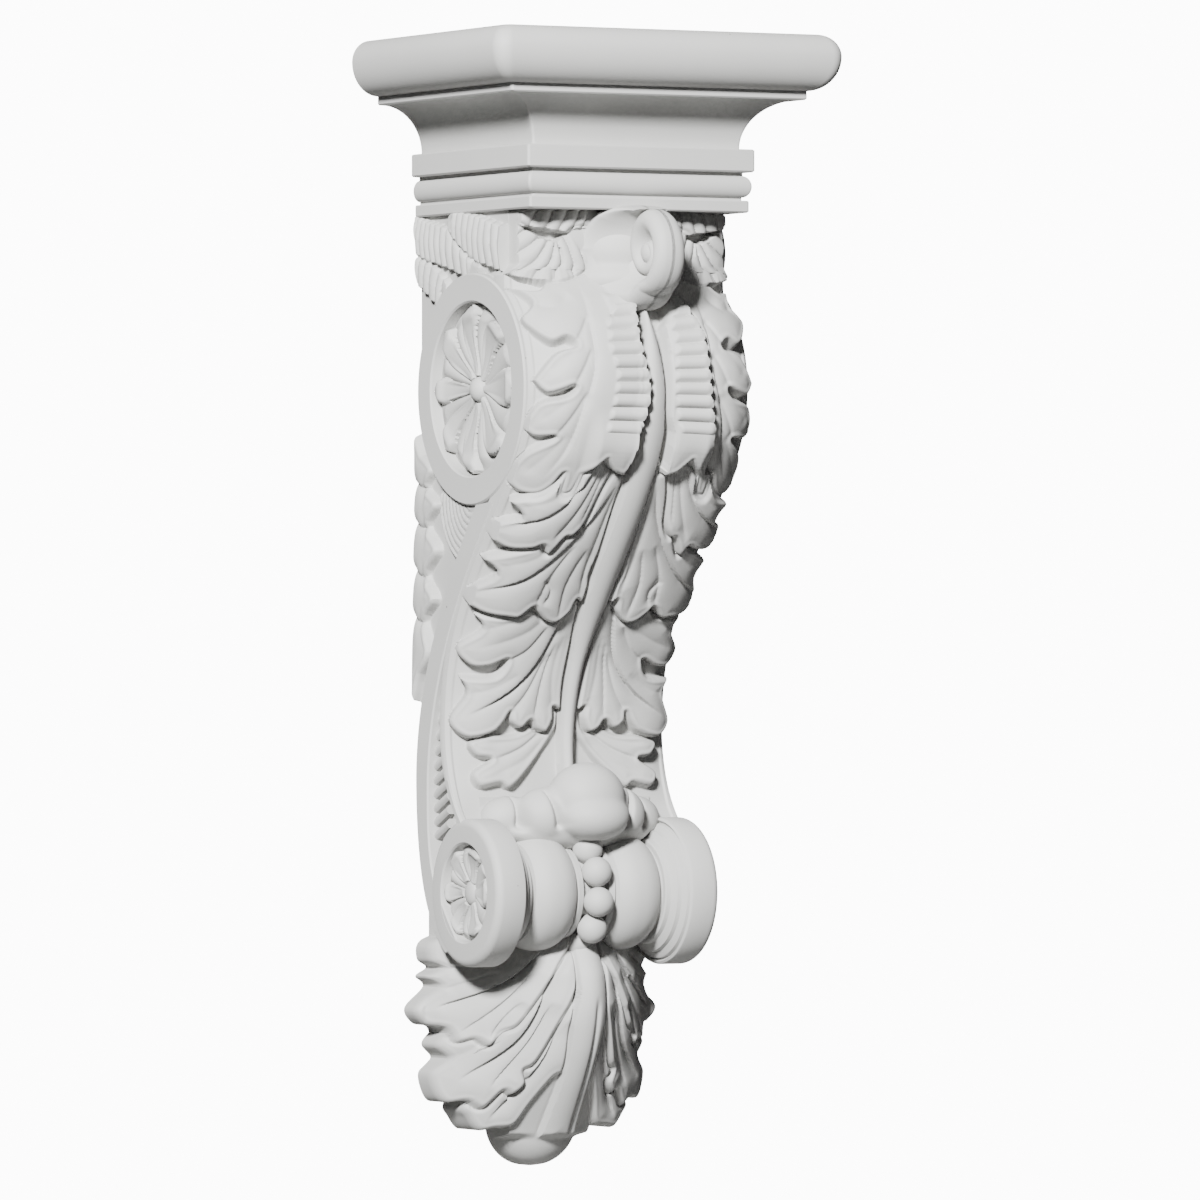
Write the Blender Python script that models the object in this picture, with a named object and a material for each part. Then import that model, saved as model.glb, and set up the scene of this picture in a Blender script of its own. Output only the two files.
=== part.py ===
"""Acanthus corbel, one casting in rigid foam: a moulded cap on an S-scroll bracket dressed with leaves.

The origin lies on the flat back face, on the centre line and half way up. The bracket stands out
towards -Y, +X is to the right of someone facing the wall, and +Z is up. Sizes are in millimetres,
and every point is written (x, reach, z), where reach is the distance out from the back face.
"""

import math
from collections import namedtuple

import bpy
import numpy as np

MM = 0.001

# Cap: a straight band, with the other mouldings standing out from it or set back
CAP_TOP = 323.0
BAND_HALF_WIDTH = 73.0
BAND_REACH = 143.4
BOARD_THICKNESS = 32.0
BOARD_NOSE_DROP = 12.7
BOARD_NOSE_ROUND = 12.0
BOARD_OUTSET = 38.4
FILLET_OUTSET = 21.8
FILLET_HEIGHT = 5.0
COVE_HEIGHT = 27.5
COVE_LIP = 2.6
COVE_INSET = 6.4
BAND_HEIGHT = 13.1
GROOVE_HEIGHT = 2.0
GROOVE_INSET = 5.0
TORUS_HEIGHT = 12.4
TORUS_INSET = 1.1
TORUS_BULGE = 4.4
NECK_HEIGHT = 1.6
FOOT_HEIGHT = 7.0
FOOT_INSET = 2.4
CORNER_RADIUS = 3.0
CAP_ROOT = 12.0

# Bracket body, seen from the side
SIDE_HALF_WIDTH = 66.5
CORE_HALF_WIDTH = 62.0
RIM_HALF_WIDTH = 71.0
RIM_WIDTH = 10.0
BLOCK_REACH = 108.0
WAIST_REACH = 35.0
WAIST_HEIGHT = -70.0
HOLLOW_RADIUS = 78.0
CORE_FOOT = -192.0
CREST_TOP_REACH = 127.0
CREST_REACH = 159.0
CREST_WAIST_REACH = 55.0
CREST_WAIST_HEIGHT = -80.0
RELIEF = 9.0
LEAF_HALF_WIDTH = 70.0

# Upper volute: a flat ring around a sunk rosette, on each side
VOLUTE_REACH = 71.0
VOLUTE_HEIGHT = 122.0
VOLUTE_RADIUS = 66.0
VOLUTE_FACE = 72.0
ROSETTE_RADIUS = 49.5
ROSETTE_FLOOR = 65.0
ROSETTE_PETALS = 8
ROSETTE_BUTTON = 8.5
ROSETTE_BUTTON_RISE = 6.0

# Scroll strip from the ring down to the roll
STRIP_FACE = 71.6
STRIP_ROOT = 57.0
STRIP_WALL_GAP = 2.0
STRIP_WIDTH = 15.0

# Roll at the foot of the scroll: its axis runs from side to side
ROLL_REACH = 62.3
ROLL_HEIGHT = -164.2
DISC_RADIUS = 42.2
DISC_FACE = 71.7
DISC_THICKNESS = 18.0
DISC_ROUND = 4.0
EYE_RADIUS = 28.0
EYE_DEPTH = 5.5
EYE_PETALS = 6
EYE_BUTTON = 8.0
BARREL_RADIUS = 33.5
BARREL_INNER = 14.0
BARREL_OUTER = 50.0
BARREL_END_DROP = 5.0
COLLAR_RADIUS = 24.0
BEAD_RADIUS = 8.6
BEAD_CIRCLE = 29.0
BEAD_PITCH = 34.5
BEAD_START = 58.5
BEADS = 6

# Curled leaf tip under the cap
CURL_REACH = 156.0
CURL_HEIGHT = 198.0
CURL_RADIUS = 24.5
CURL_HALF_WIDTH = 22.0
CURL_NECK_REACH = 133.0
CURL_NECK_HALF_WIDTH = 30.0

# Ribbed straps that hang on either side of the stem
STRAP_INNER = 10.0
STRAP_OUTER = 32.0
STRAP_TOP = 170.0
STRAP_FOOT = 97.0
STRAP_RIBS = 10
STRAP_RIB_RISE = 1.6

# Stem down the middle of the front
STEM_TOP = 150.0
STEM_FOOT = -96.0
STEM_TOP_HALF_WIDTH = 8.5
STEM_FOOT_HALF_WIDTH = 3.5
STEM_RISE = 2.0

# Ladder of slanted bars in the slot between strip and front
LADDER_TOP = -50.0
LADDER_FOOT = -132.0
LADDER_BARS = 8
LADDER_FACE = 66.0

# Pendant leaf under the roll
PENDANT_TOP = -188.0
PENDANT_HALF_WIDTH = 66.0
PENDANT_CREST = 76.0
PENDANT_EDGE = 14.0
KNOB_HEIGHT = -296.0
KNOB_HALF_WIDTH = 25.0
KNOB_REACH = 33.0
KNOB_HALF_HEIGHT = 27.0

# Everything runs on past the back face by this much, and is then cut off flat
WALL_OVERRUN = 6.0

# How finely round work is cut into flats
ROUND_SEGMENTS = 26
SMALL_SEGMENTS = 8
FACES_KEPT = 0.56

# Faces that meet at more than this many degrees keep a sharp edge between them
SHARP_ANGLE = 35.0

# Colour of the primed casting
PRIMER_COLOUR = (0.78, 0.78, 0.775, 1.0)
PRIMER_ROUGHNESS = 0.62

# One finger of a leaf, on the right half: where it grows from, where it points, its half width,
# how far its middle sags off the straight line, and how far it stands off the leaf surface
Finger = namedtuple("Finger", "root tip half_width bow lift")

FRONT_FINGERS = [
    Finger((35, 173), (66, 173), 6.0, 0.10, 0.0),
    Finger((38, 160), (65, 150), 9.0, 0.10, 1.0),
    Finger((38, 147), (66, 120), 9.5, 0.10, 1.5),
    Finger((42, 125), (68, 96), 10.0, 0.10, 2.0),
    Finger((29, 168), (64, 69), 11.0, 0.04, 3.5),
    Finger((32, 92), (43, 65), 6.0, 0.02, 1.0),
    Finger((42, 68), (67, 59), 7.0, 0.15, -1.0),
    Finger((20, 84), (70, 43), 10.5, 0.22, 1.5),
    Finger((24, 66), (42, 35), 6.0, 0.08, 0.0),
    Finger((42, 36), (67, 26), 8.0, 0.15, -1.0),
    Finger((12, 62), (69, 6), 11.5, 0.20, 2.0),
    Finger((22, 34), (44, -3), 6.0, 0.08, 0.5),
    Finger((13, 42), (27, -5), 8.0, 0.05, 0.5),
    Finger((9, 40), (11, 6), 4.0, 0.0, 0.0),
    Finger((42, -2), (65, -9), 8.0, 0.15, -1.0),
    Finger((14, 8), (67, -25), 11.5, 0.16, 1.0),
    Finger((42, -36), (64, -45), 8.0, 0.15, -1.0),
    Finger((8, 2), (66, -67), 12.0, 0.20, 2.5),
    Finger((20, -32), (42, -72), 6.0, 0.08, 0.5),
    Finger((10, -22), (20, -71), 8.0, 0.04, 0.5),
    Finger((7, -56), (57, -84), 8.5, 0.18, 0.0),
    Finger((7, -62), (56, -103), 8.5, 0.22, 0.5),
]

PENDANT_FINGERS = [
    Finger((22, -196), (60, -212), 8.0, -0.05, 1.0),
    Finger((20, -198), (68, -236), 11.0, -0.10, 2.0),
    Finger((16, -200), (54, -256), 9.0, -0.08, 1.0),
    Finger((13, -200), (55, -279), 11.0, -0.12, 2.0),
    Finger((8, -200), (34, -287), 9.0, -0.08, 2.5),
    Finger((5, -205), (27, -302), 8.0, -0.06, 0.5),
]

SIDE_FINGERS = [
    Finger((16, 66), (3, 50), 8.0, 0.0, 3.0),
    Finger((18, 44), (4, 24), 8.0, 0.0, 3.0),
    Finger((14, 22), (3, -4), 7.0, 0.0, 3.0),
]

# Bulbs of the husk over the roll: centre on the right half, then half width, half reach, half height
Bulb = namedtuple("Bulb", "centre radii")

HUSK_BULBS = [
    Bulb((46, 50, -118), (12, 16, 18)),
    Bulb((22, 66, -116), (18, 19, 21)),
]
HUSK_MIDDLE = Bulb((0, 76, -111), (18, 18, 24))


# Curves

def arc(centre, radius, start, end, steps):
    """Points of a circle's arc from start to end, in degrees, both ends included."""
    rx, ry = radius if isinstance(radius, tuple) else (radius, radius)
    turns = [math.radians(start + (end - start) * i / steps) for i in range(steps + 1)]
    return [(centre[0] + rx * math.cos(a), centre[1] + ry * math.sin(a)) for a in turns]


def bezier(p0, p1, p2, p3, steps):
    """Points of a cubic curve, both ends included."""
    points = []
    for i in range(steps + 1):
        t = i / steps
        weights = ((1 - t) ** 3, 3 * t * (1 - t) ** 2, 3 * t * t * (1 - t), t ** 3)
        points.append(tuple(sum(w * p[k] for w, p in zip(weights, (p0, p1, p2, p3))) for k in (0, 1)))
    return points


def reach_at(line, z):
    """Reach of a (reach, z) line that runs down from the top, at height z."""
    heights = [p[1] for p in reversed(line)]
    reaches = [p[0] for p in reversed(line)]
    return float(np.interp(z, heights, reaches))


def cap_foot():
    """Height of the underside of the cap."""
    mouldings = (BOARD_THICKNESS, FILLET_HEIGHT, COVE_HEIGHT, BAND_HEIGHT, GROOVE_HEIGHT,
                 TORUS_HEIGHT, NECK_HEIGHT, FOOT_HEIGHT)
    return CAP_TOP - sum(mouldings)


def edge_line():
    """The front corner of the bracket's side: block, volute, S-curve and hollow, from the top down."""
    block_angle = math.degrees(math.acos((BLOCK_REACH - VOLUTE_REACH) / VOLUTE_RADIUS))
    shoulder = (VOLUTE_REACH + VOLUTE_RADIUS, VOLUTE_HEIGHT)
    waist = (WAIST_REACH, WAIST_HEIGHT)
    fall = shoulder[1] - waist[1]
    line = [(BLOCK_REACH, cap_foot() + CAP_ROOT)]
    line += arc((VOLUTE_REACH, VOLUTE_HEIGHT), VOLUTE_RADIUS, block_angle, 0, 8)
    line += bezier(shoulder, (shoulder[0], shoulder[1] - 0.31 * fall),
                   (waist[0], waist[1] + 0.52 * fall), waist, 16)[1:]
    line += arc((WAIST_REACH + HOLLOW_RADIUS, WAIST_HEIGHT), HOLLOW_RADIUS, 180, 224, 8)[1:]
    line.append((line[-1][0], CORE_FOOT))
    return line


def crest_line():
    """The crest of the leaves on the centre line, from the top down."""
    shoulder = (CREST_REACH, VOLUTE_HEIGHT)
    waist = (CREST_WAIST_REACH, CREST_WAIST_HEIGHT)
    fall = shoulder[1] - waist[1]
    line = [(CREST_TOP_REACH, cap_foot() + CAP_ROOT)]
    line += bezier((CREST_TOP_REACH, VOLUTE_HEIGHT + VOLUTE_RADIUS),
                   (CREST_TOP_REACH + 6, VOLUTE_HEIGHT + 0.75 * VOLUTE_RADIUS),
                   (CREST_REACH, VOLUTE_HEIGHT + 0.6 * VOLUTE_RADIUS), shoulder, 8)
    line += bezier(shoulder, (shoulder[0], shoulder[1] - 0.35 * fall),
                   (waist[0], waist[1] + 0.4 * fall), waist, 16)[1:]
    line += [(CREST_WAIST_REACH + 5, CREST_WAIST_HEIGHT - 20), (CREST_WAIST_REACH + 5, CORE_FOOT)]
    return line


EDGE = edge_line()
CREST = crest_line()


def leaf_surface(x, z):
    """Reach of the surface that the leaves swell to."""
    edge = reach_at(EDGE, z)
    crest = max(reach_at(CREST, z), edge)
    return edge + (crest - edge) * (1 - min(abs(x) / LEAF_HALF_WIDTH, 1.0) ** 8)


def ground_surface(x, z):
    """Reach of the smooth ground between and behind the leaves."""
    edge = reach_at(EDGE, z)
    swell = max(reach_at(CREST, z) - edge - RELIEF, 0.0)
    return edge + swell * (1 - min(abs(x) / RIM_HALF_WIDTH, 1.0) ** 5)


def pendant_half_width(z):
    """Half width of the pendant leaf's body, which narrows to its knob."""
    stations = [KNOB_HEIGHT, -284.0, -262.0, -232.0, PENDANT_TOP]
    widths = [KNOB_HALF_WIDTH, 40.0, 56.0, PENDANT_HALF_WIDTH - 8.0, CORE_HALF_WIDTH - 8.0]
    return float(np.interp(z, stations, widths))


def pendant_surface(x, z):
    """Reach of the pendant leaf: a hanging spoon that swells under the roll and thins to its knob."""
    line = [(PENDANT_CREST - 14, PENDANT_TOP), (PENDANT_CREST, -214.0), (PENDANT_CREST - 2, -236.0),
            (PENDANT_CREST - 14, -262.0), (PENDANT_CREST - 30, -286.0), (KNOB_REACH, KNOB_HEIGHT - 14)]
    crest = reach_at(line, z)
    across = min(abs(x) / (PENDANT_HALF_WIDTH + 4), 1.0)
    return PENDANT_EDGE + (crest - PENDANT_EDGE) * math.cos(across * math.pi / 2) ** 0.8


# Closed shells: each is a list of (x, reach, z) points and a list of faces

def oriented(points, faces):
    """The same shell with its faces pointing outwards."""
    volume = 0.0
    for face in faces:
        a = np.array(points[face[0]])
        for i in range(1, len(face) - 1):
            volume += float(np.dot(a, np.cross(points[face[i]], points[face[i + 1]])))
    # Reach runs towards -Y, so a shell that is outward in these coordinates is inward in the world
    return (points, faces) if volume < 0 else (points, [tuple(reversed(f)) for f in faces])


def loft(rings):
    """A closed solid through rings of as many points each, with flat ends."""
    count = len(rings[0])
    points = [p for ring in rings for p in ring]
    faces = [tuple(range(count))]
    for r in range(len(rings) - 1):
        for i in range(count):
            j = (i + 1) % count
            faces.append((r * count + i, (r + 1) * count + i, (r + 1) * count + j, r * count + j))
    last = (len(rings) - 1) * count
    faces.append(tuple(last + count - 1 - i for i in range(count)))
    return oriented(points, faces)


def slab(top, base):
    """A closed slab between two grids of points of the same size."""
    rows, cols = len(top), len(top[0])
    points = [p for row in top for p in row] + [p for row in base for p in row]
    under = rows * cols
    faces = []
    for r in range(rows - 1):
        for c in range(cols - 1):
            a = r * cols + c
            quad = (a, a + 1, a + cols + 1, a + cols)
            faces.append(quad)
            faces.append(tuple(under + i for i in reversed(quad)))
    border = [c for c in range(cols)]
    border += [r * cols + cols - 1 for r in range(1, rows)]
    border += [(rows - 1) * cols + c for c in range(cols - 2, -1, -1)]
    border += [r * cols for r in range(rows - 2, 0, -1)]
    for i, a in enumerate(border):
        b = border[(i + 1) % len(border)]
        faces.append((b, a, under + a, under + b))
    return oriented(points, faces)


def mirrored(shell):
    """The same shell on the other side of the centre line."""
    points, faces = shell
    return oriented([(-p[0], p[1], p[2]) for p in points], faces)


def turned(profile, centre, segments):
    """A solid turned about an axis along X: profile of (x, radius), with both ends on the axis."""
    points = [(profile[0][0], centre[0], centre[1])]
    rings = profile[1:-1]
    for x, radius in rings:
        for s in range(segments):
            a = 2 * math.pi * s / segments
            points.append((x, centre[0] + radius * math.cos(a), centre[1] + radius * math.sin(a)))
    points.append((profile[-1][0], centre[0], centre[1]))
    faces = []
    for s in range(segments):
        t = (s + 1) % segments
        faces.append((0, 1 + s, 1 + t))
        for r in range(len(rings) - 1):
            a = 1 + r * segments
            faces.append((a + s, a + segments + s, a + segments + t, a + t))
        last = 1 + (len(rings) - 1) * segments
        faces.append((last + s, len(points) - 1, last + t))
    return oriented(points, faces)


def ellipsoid(centre, radii, segments, rows):
    """An egg of given half sizes."""
    points = [(centre[0], centre[1], centre[2] + radii[2])]
    for r in range(1, rows):
        down = math.pi * r / rows
        for s in range(segments):
            a = 2 * math.pi * s / segments
            points.append((centre[0] + radii[0] * math.sin(down) * math.cos(a),
                           centre[1] + radii[1] * math.sin(down) * math.sin(a),
                           centre[2] + radii[2] * math.cos(down)))
    points.append((centre[0], centre[1], centre[2] - radii[2]))
    faces = []
    for s in range(segments):
        t = (s + 1) % segments
        faces.append((0, 1 + s, 1 + t))
        for r in range(rows - 2):
            a = 1 + r * segments
            faces.append((a + s, a + segments + s, a + segments + t, a + t))
        last = 1 + (rows - 2) * segments
        faces.append((last + s, len(points) - 1, last + t))
    return oriented(points, faces)


def finger_grid(finger, rows, cols, root_share=0.55):
    """Grid of (u, v, height) of one finger: a bowed tongue, widest past its middle, round at its tip."""
    root = np.array(finger.root, float)
    tip = np.array(finger.tip, float)
    along = tip - root
    lower = 1.0 if along[0] >= 0 else -1.0
    middle = (root + tip) / 2 + 2 * finger.bow * lower * np.array((along[1], -along[0]))
    grid = []
    for r in range(rows):
        s = r / (rows - 1)
        centre = (1 - s) ** 2 * root + 2 * s * (1 - s) * middle + s * s * tip
        heading = 2 * (1 - s) * (middle - root) + 2 * s * (tip - middle)
        side = lower * np.array((heading[1], -heading[0])) / np.linalg.norm(heading)
        swell = root_share + (1 - root_share) * math.sin(math.pi / 2 * min(s / 0.7, 1.0))
        blunt = math.sqrt(max(1 - max((s - 0.72) / 0.28, 0.0) ** 2, 0.0))
        width = finger.half_width * swell * max(blunt, 0.3)
        row = []
        for c in range(cols):
            t = 2 * c / (cols - 1) - 1
            height = finger.lift + 3.0 * (1 - t * t) + 2.5 * t - 3.5 * (1 - s) ** 2 - 2.0 * s ** 6
            point = centre + side * width * t
            row.append((float(point[0]), float(point[1]), height))
        grid.append(row)
    return grid


# Pieces of the casting, each a list of closed shells that overlap what carries them

def cap_profile():
    """(outset, height) of the cap from the top edge down; outset is from the face of the band."""
    z = CAP_TOP
    nose = z - BOARD_NOSE_DROP
    under = z - BOARD_THICKNESS
    profile = arc((BOARD_OUTSET - BOARD_NOSE_ROUND, nose), (BOARD_NOSE_ROUND, BOARD_NOSE_DROP), 90, 0, 4)
    profile += arc((FILLET_OUTSET, nose), (BOARD_OUTSET - FILLET_OUTSET, nose - under), 0, -90, 5)[1:]
    z = under - FILLET_HEIGHT
    profile.append((FILLET_OUTSET, z))
    lip = FILLET_OUTSET - COVE_LIP
    profile += arc((lip, z - COVE_HEIGHT), (lip + COVE_INSET, COVE_HEIGHT), 90, 180, 6)
    z -= COVE_HEIGHT
    profile.append((0.0, z - 0.1))
    z -= BAND_HEIGHT
    profile += [(0.0, z), (-GROOVE_INSET, z - 0.2), (-GROOVE_INSET, z - GROOVE_HEIGHT)]
    z -= GROOVE_HEIGHT
    profile += arc((-TORUS_INSET - TORUS_BULGE, z - TORUS_HEIGHT / 2), (TORUS_BULGE, TORUS_HEIGHT / 2),
                   75, -90, 5)
    z -= TORUS_HEIGHT + NECK_HEIGHT
    profile += [(-TORUS_INSET - TORUS_BULGE, z), (-FOOT_INSET, z - 0.2)]
    z -= FOOT_HEIGHT
    profile += [(-FOOT_INSET, z)]
    return profile


def plan_ring(outset, z):
    """One level of the cap: a rectangle against the back face, with its two front corners rounded."""
    half = BAND_HALF_WIDTH + outset
    reach = BAND_REACH + outset
    r = CORNER_RADIUS
    ring = [(-half, -WALL_OVERRUN - 1, z)]
    ring += [(p[0], p[1], z) for p in arc((-half + r, reach - r), r, 180, 90, 2)]
    ring += [(p[0], p[1], z) for p in arc((half - r, reach - r), r, 90, 0, 2)]
    ring.append((half, -WALL_OVERRUN - 1, z))
    return ring


def cap():
    return [loft([plan_ring(outset, z) for outset, z in cap_profile()])]


def core():
    """The bracket's body, with a rim along its front corners and smooth ground between them."""
    top = cap_foot() + CAP_ROOT
    heights = list(np.linspace(top, VOLUTE_HEIGHT + 50, 4)) + list(np.linspace(VOLUTE_HEIGHT + 36, -122, 19))
    heights += [CORE_FOOT]
    shares = (-1.0, -0.86, -0.62, -0.32, 0.0, 0.32, 0.62, 0.86, 1.0)
    rings = []
    for z in heights:
        edge = reach_at(EDGE, z)
        rim = min(RIM_HALF_WIDTH, SIDE_HALF_WIDTH) if z > VOLUTE_HEIGHT + 45 else RIM_HALF_WIDTH
        rim = CORE_HALF_WIDTH + 1 if z <= CORE_FOOT else rim
        ring = [(CORE_HALF_WIDTH, -WALL_OVERRUN, z), (-CORE_HALF_WIDTH, -WALL_OVERRUN, z),
                (-CORE_HALF_WIDTH, edge - RIM_WIDTH, z), (-rim, edge - RIM_WIDTH, z)]
        ring += [(s * rim, ground_surface(s * rim, z), z) for s in shares]
        ring += [(rim, edge - RIM_WIDTH, z), (CORE_HALF_WIDTH, edge - RIM_WIDTH, z)]
        rings.append(ring)
    return [loft(rings)]


def strip_lines():
    """The scroll strip's wall edge and front edge, from the ring down to the roll's disc."""
    ring_foot = VOLUTE_HEIGHT - VOLUTE_RADIUS
    gap = STRIP_WALL_GAP
    inner = gap + STRIP_WIDTH
    drop = ROLL_HEIGHT + 65
    wall = bezier((VOLUTE_REACH + 5, ring_foot), (VOLUTE_REACH - 21, ring_foot - 31),
                  (gap, ring_foot - 91), (gap, drop), 12)
    landing = arc((ROLL_REACH, ROLL_HEIGHT), DISC_RADIUS, 235, 235, 1)[0]
    wall += bezier((gap, drop), (gap, ROLL_HEIGHT + 14), (landing[0] - 24, landing[1] + 17), landing, 10)[1:]
    front = bezier((VOLUTE_REACH + 27, ring_foot + 2), (VOLUTE_REACH + 1, ring_foot - 29),
                   (inner, ring_foot - 91), (inner, ROLL_HEIGHT + 58), 12)
    front += bezier((inner, ROLL_HEIGHT + 58), (inner, ROLL_HEIGHT + 34), (inner + 2, ROLL_HEIGHT + 19),
                    (ROLL_REACH - DISC_RADIUS + 4, ROLL_HEIGHT + 8), 6)[1:]
    front += [(ROLL_REACH - 30, ROLL_HEIGHT - 2), (ROLL_REACH - 22, ROLL_HEIGHT - 12),
              (ROLL_REACH - 14, ROLL_HEIGHT - 22), (ROLL_REACH - 6, ROLL_HEIGHT - 30)]
    return wall, front


def strip():
    wall, front = strip_lines()
    rings = [[(STRIP_FACE, a[0], a[1]), (STRIP_FACE, b[0], b[1]),
              (STRIP_ROOT, b[0], b[1]), (STRIP_ROOT, a[0], a[1])] for a, b in zip(wall, front)]
    shell = loft(rings)
    return [shell, mirrored(shell)]


def side_panel():
    """The plain cheek between the wall and the strip, a little behind the strip's face."""
    wall, front = strip_lines()
    middle = [((a[0] + b[0]) / 2, (a[1] + b[1]) / 2) for a, b in zip(wall[:10], front[:10])]
    outline = [(2 - WALL_OVERRUN, cap_foot() + CAP_ROOT - 1), (BLOCK_REACH - 2, cap_foot() + CAP_ROOT - 1),
               (BLOCK_REACH - 2, VOLUTE_HEIGHT + 30)] + middle + [(2 - WALL_OVERRUN, middle[-1][1] - 14)]
    rings = [[(x, p[0], p[1]) for p in outline] for x in (SIDE_HALF_WIDTH, STRIP_ROOT - 2)]
    shell = loft(rings)
    return [shell, mirrored(shell)]


def volute():
    """The flat ring with its sunk rosette on each side."""
    ring = [(STRIP_ROOT + 1, 0.0), (STRIP_ROOT + 1, VOLUTE_RADIUS), (VOLUTE_FACE - 1.5, VOLUTE_RADIUS),
            (VOLUTE_FACE, VOLUTE_RADIUS - 1.5), (VOLUTE_FACE, ROSETTE_RADIUS),
            (ROSETTE_FLOOR, ROSETTE_RADIUS - 1.5), (ROSETTE_FLOOR, 0.0)]
    shells = [turned(ring, (VOLUTE_REACH, VOLUTE_HEIGHT), ROUND_SEGMENTS + 8)]
    shells += rosette((VOLUTE_REACH, VOLUTE_HEIGHT), ROSETTE_RADIUS - 1.0, ROSETTE_FLOOR,
                      ROSETTE_PETALS, ROSETTE_BUTTON, ROSETTE_BUTTON_RISE, 11.0, 0.12)
    return shells + [mirrored(s) for s in shells]


def rosette(centre, radius, floor, petals, button, rise, half_width, twist):
    """Petals around a domed button, on a floor that faces sideways."""
    dome = [(floor - 2, 0.0), (floor - 2, button), (floor + rise * 0.5, button),
            (floor + rise, button * 0.6), (floor + rise * 1.2, 0.0)]
    shells = [turned(dome, centre, SMALL_SEGMENTS)]
    for k in range(petals):
        angle = 2 * math.pi * (k + 0.25) / petals
        root = (button * 0.6 * math.cos(angle), button * 0.6 * math.sin(angle))
        tip = ((radius - 1) * math.cos(angle + twist), (radius - 1) * math.sin(angle + twist))
        petal = Finger(root, tip, half_width, 0.0, 0.0)
        grid = finger_grid(petal, 5, 3, 0.3)
        top = [[(floor + 5.0 + 0.8 * h, centre[0] + u, centre[1] + v) for u, v, h in row]
               for row in grid]
        base = [[(floor - 2.0, centre[0] + u, centre[1] + v) for u, v, h in row] for row in grid]
        shells.append(slab(top, base))
    return shells


def roll_profile():
    """Half of the roll's turned profile, from its middle out to its face: (x, radius)."""
    inner = DISC_FACE - DISC_THICKNESS
    middle = (BARREL_INNER + BARREL_OUTER) / 2
    half = (BARREL_OUTER - BARREL_INNER) / 2
    barrel = []
    for i in range(5):
        t = -1 + i / 2
        barrel.append((middle + half * t, BARREL_RADIUS - BARREL_END_DROP * t * t))
    profile = [(BARREL_INNER - 5, COLLAR_RADIUS), (BARREL_INNER - 4.5, COLLAR_RADIUS + 3),
               (BARREL_INNER - 0.5, COLLAR_RADIUS + 3)]
    profile += barrel
    profile += [(BARREL_OUTER + 0.4, COLLAR_RADIUS), (inner - 0.6, COLLAR_RADIUS),
                (inner, DISC_RADIUS - 1.5), (inner + 1.5, DISC_RADIUS)]
    profile += [(DISC_FACE - DISC_ROUND, DISC_RADIUS), (DISC_FACE - 1, DISC_RADIUS - 1.5),
                (DISC_FACE, DISC_RADIUS - DISC_ROUND), (DISC_FACE, EYE_RADIUS)]
    profile += [(DISC_FACE - EYE_DEPTH, EYE_RADIUS - 1.0), (DISC_FACE - EYE_DEPTH, 0.0)]
    return profile


def roll():
    """The roll with its end discs, barrels, collars and the row of beads round its middle."""
    half = roll_profile()
    full = [(-x, r) for x, r in reversed(half)] + half
    shells = [turned(full, (ROLL_REACH, ROLL_HEIGHT), ROUND_SEGMENTS)]
    for k in range(BEADS):
        angle = math.radians(BEAD_START - BEAD_PITCH * k)
        centre = (0.0, ROLL_REACH + BEAD_CIRCLE * math.cos(angle), ROLL_HEIGHT + BEAD_CIRCLE * math.sin(angle))
        shells.append(ellipsoid(centre, (BEAD_RADIUS,) * 3, SMALL_SEGMENTS, 6))
    eye = rosette((ROLL_REACH, ROLL_HEIGHT), EYE_RADIUS - 1.5, DISC_FACE - EYE_DEPTH,
                  EYE_PETALS, EYE_BUTTON, 4.0, 8.5, 0.0)
    return shells + eye + [mirrored(s) for s in eye]


def front_leaves():
    """The overlapping fingers of the leaves on the front, right half and left half."""
    shells = []
    for finger in FRONT_FINGERS:
        grid = finger_grid(finger, 6, 4)
        top = [[(u, leaf_surface(u, v) + h, v) for u, v, h in row] for row in grid]
        base = [[(u, ground_surface(u, v) - 5.0, v) for u, v, h in row] for row in grid]
        shells.append(slab(top, base))
    return shells + [mirrored(s) for s in shells]


def stem():
    """The stem down the middle, tapering from the curl to the husk."""
    top, base = [], []
    for z in np.linspace(STEM_TOP, STEM_FOOT, 14):
        share = (STEM_TOP - z) / (STEM_TOP - STEM_FOOT)
        half = STEM_TOP_HALF_WIDTH + (STEM_FOOT_HALF_WIDTH - STEM_TOP_HALF_WIDTH) * share
        reach = leaf_surface(0.0, z)
        top.append([(half * t, reach + STEM_RISE - 3.0 * t * t, z) for t in (-1.0, -0.45, 0.45, 1.0)])
        base.append([(half * t, reach - RELIEF - 5, z) for t in (-1.0, -0.45, 0.45, 1.0)])
    return [slab(top, base)]


def straps():
    """The two ribbed straps, each ending in a forked tail."""
    pitch = (STRAP_TOP - STRAP_FOOT) / STRAP_RIBS
    rows = []
    for k in range(STRAP_RIBS):
        z = STRAP_TOP - k * pitch
        rows.append((z - 0.15 * pitch, STRAP_RIB_RISE, STRAP_INNER, STRAP_OUTER))
        rows.append((z - 0.85 * pitch, STRAP_RIB_RISE, STRAP_INNER, STRAP_OUTER))
        rows.append((z - pitch, 0.0, STRAP_INNER, STRAP_OUTER - 1))
    rows += [(STRAP_FOOT - 9, 1.5, STRAP_INNER + 1, STRAP_OUTER + 5),
             (STRAP_FOOT - 18, 0.5, STRAP_INNER + 3, STRAP_OUTER + 11)]
    top, base = [], []
    for z, rise, inner, outer in rows:
        xs = [inner + (outer - inner) * t for t in (0.0, 0.5, 1.0)]
        top.append([(x, leaf_surface(x, z) + 1.5 + rise, z) for x in xs])
        base.append([(x, ground_surface(x, z) - 5.0, z) for x in xs])
    shell = slab(top, base)
    return [shell, mirrored(shell)]


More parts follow.
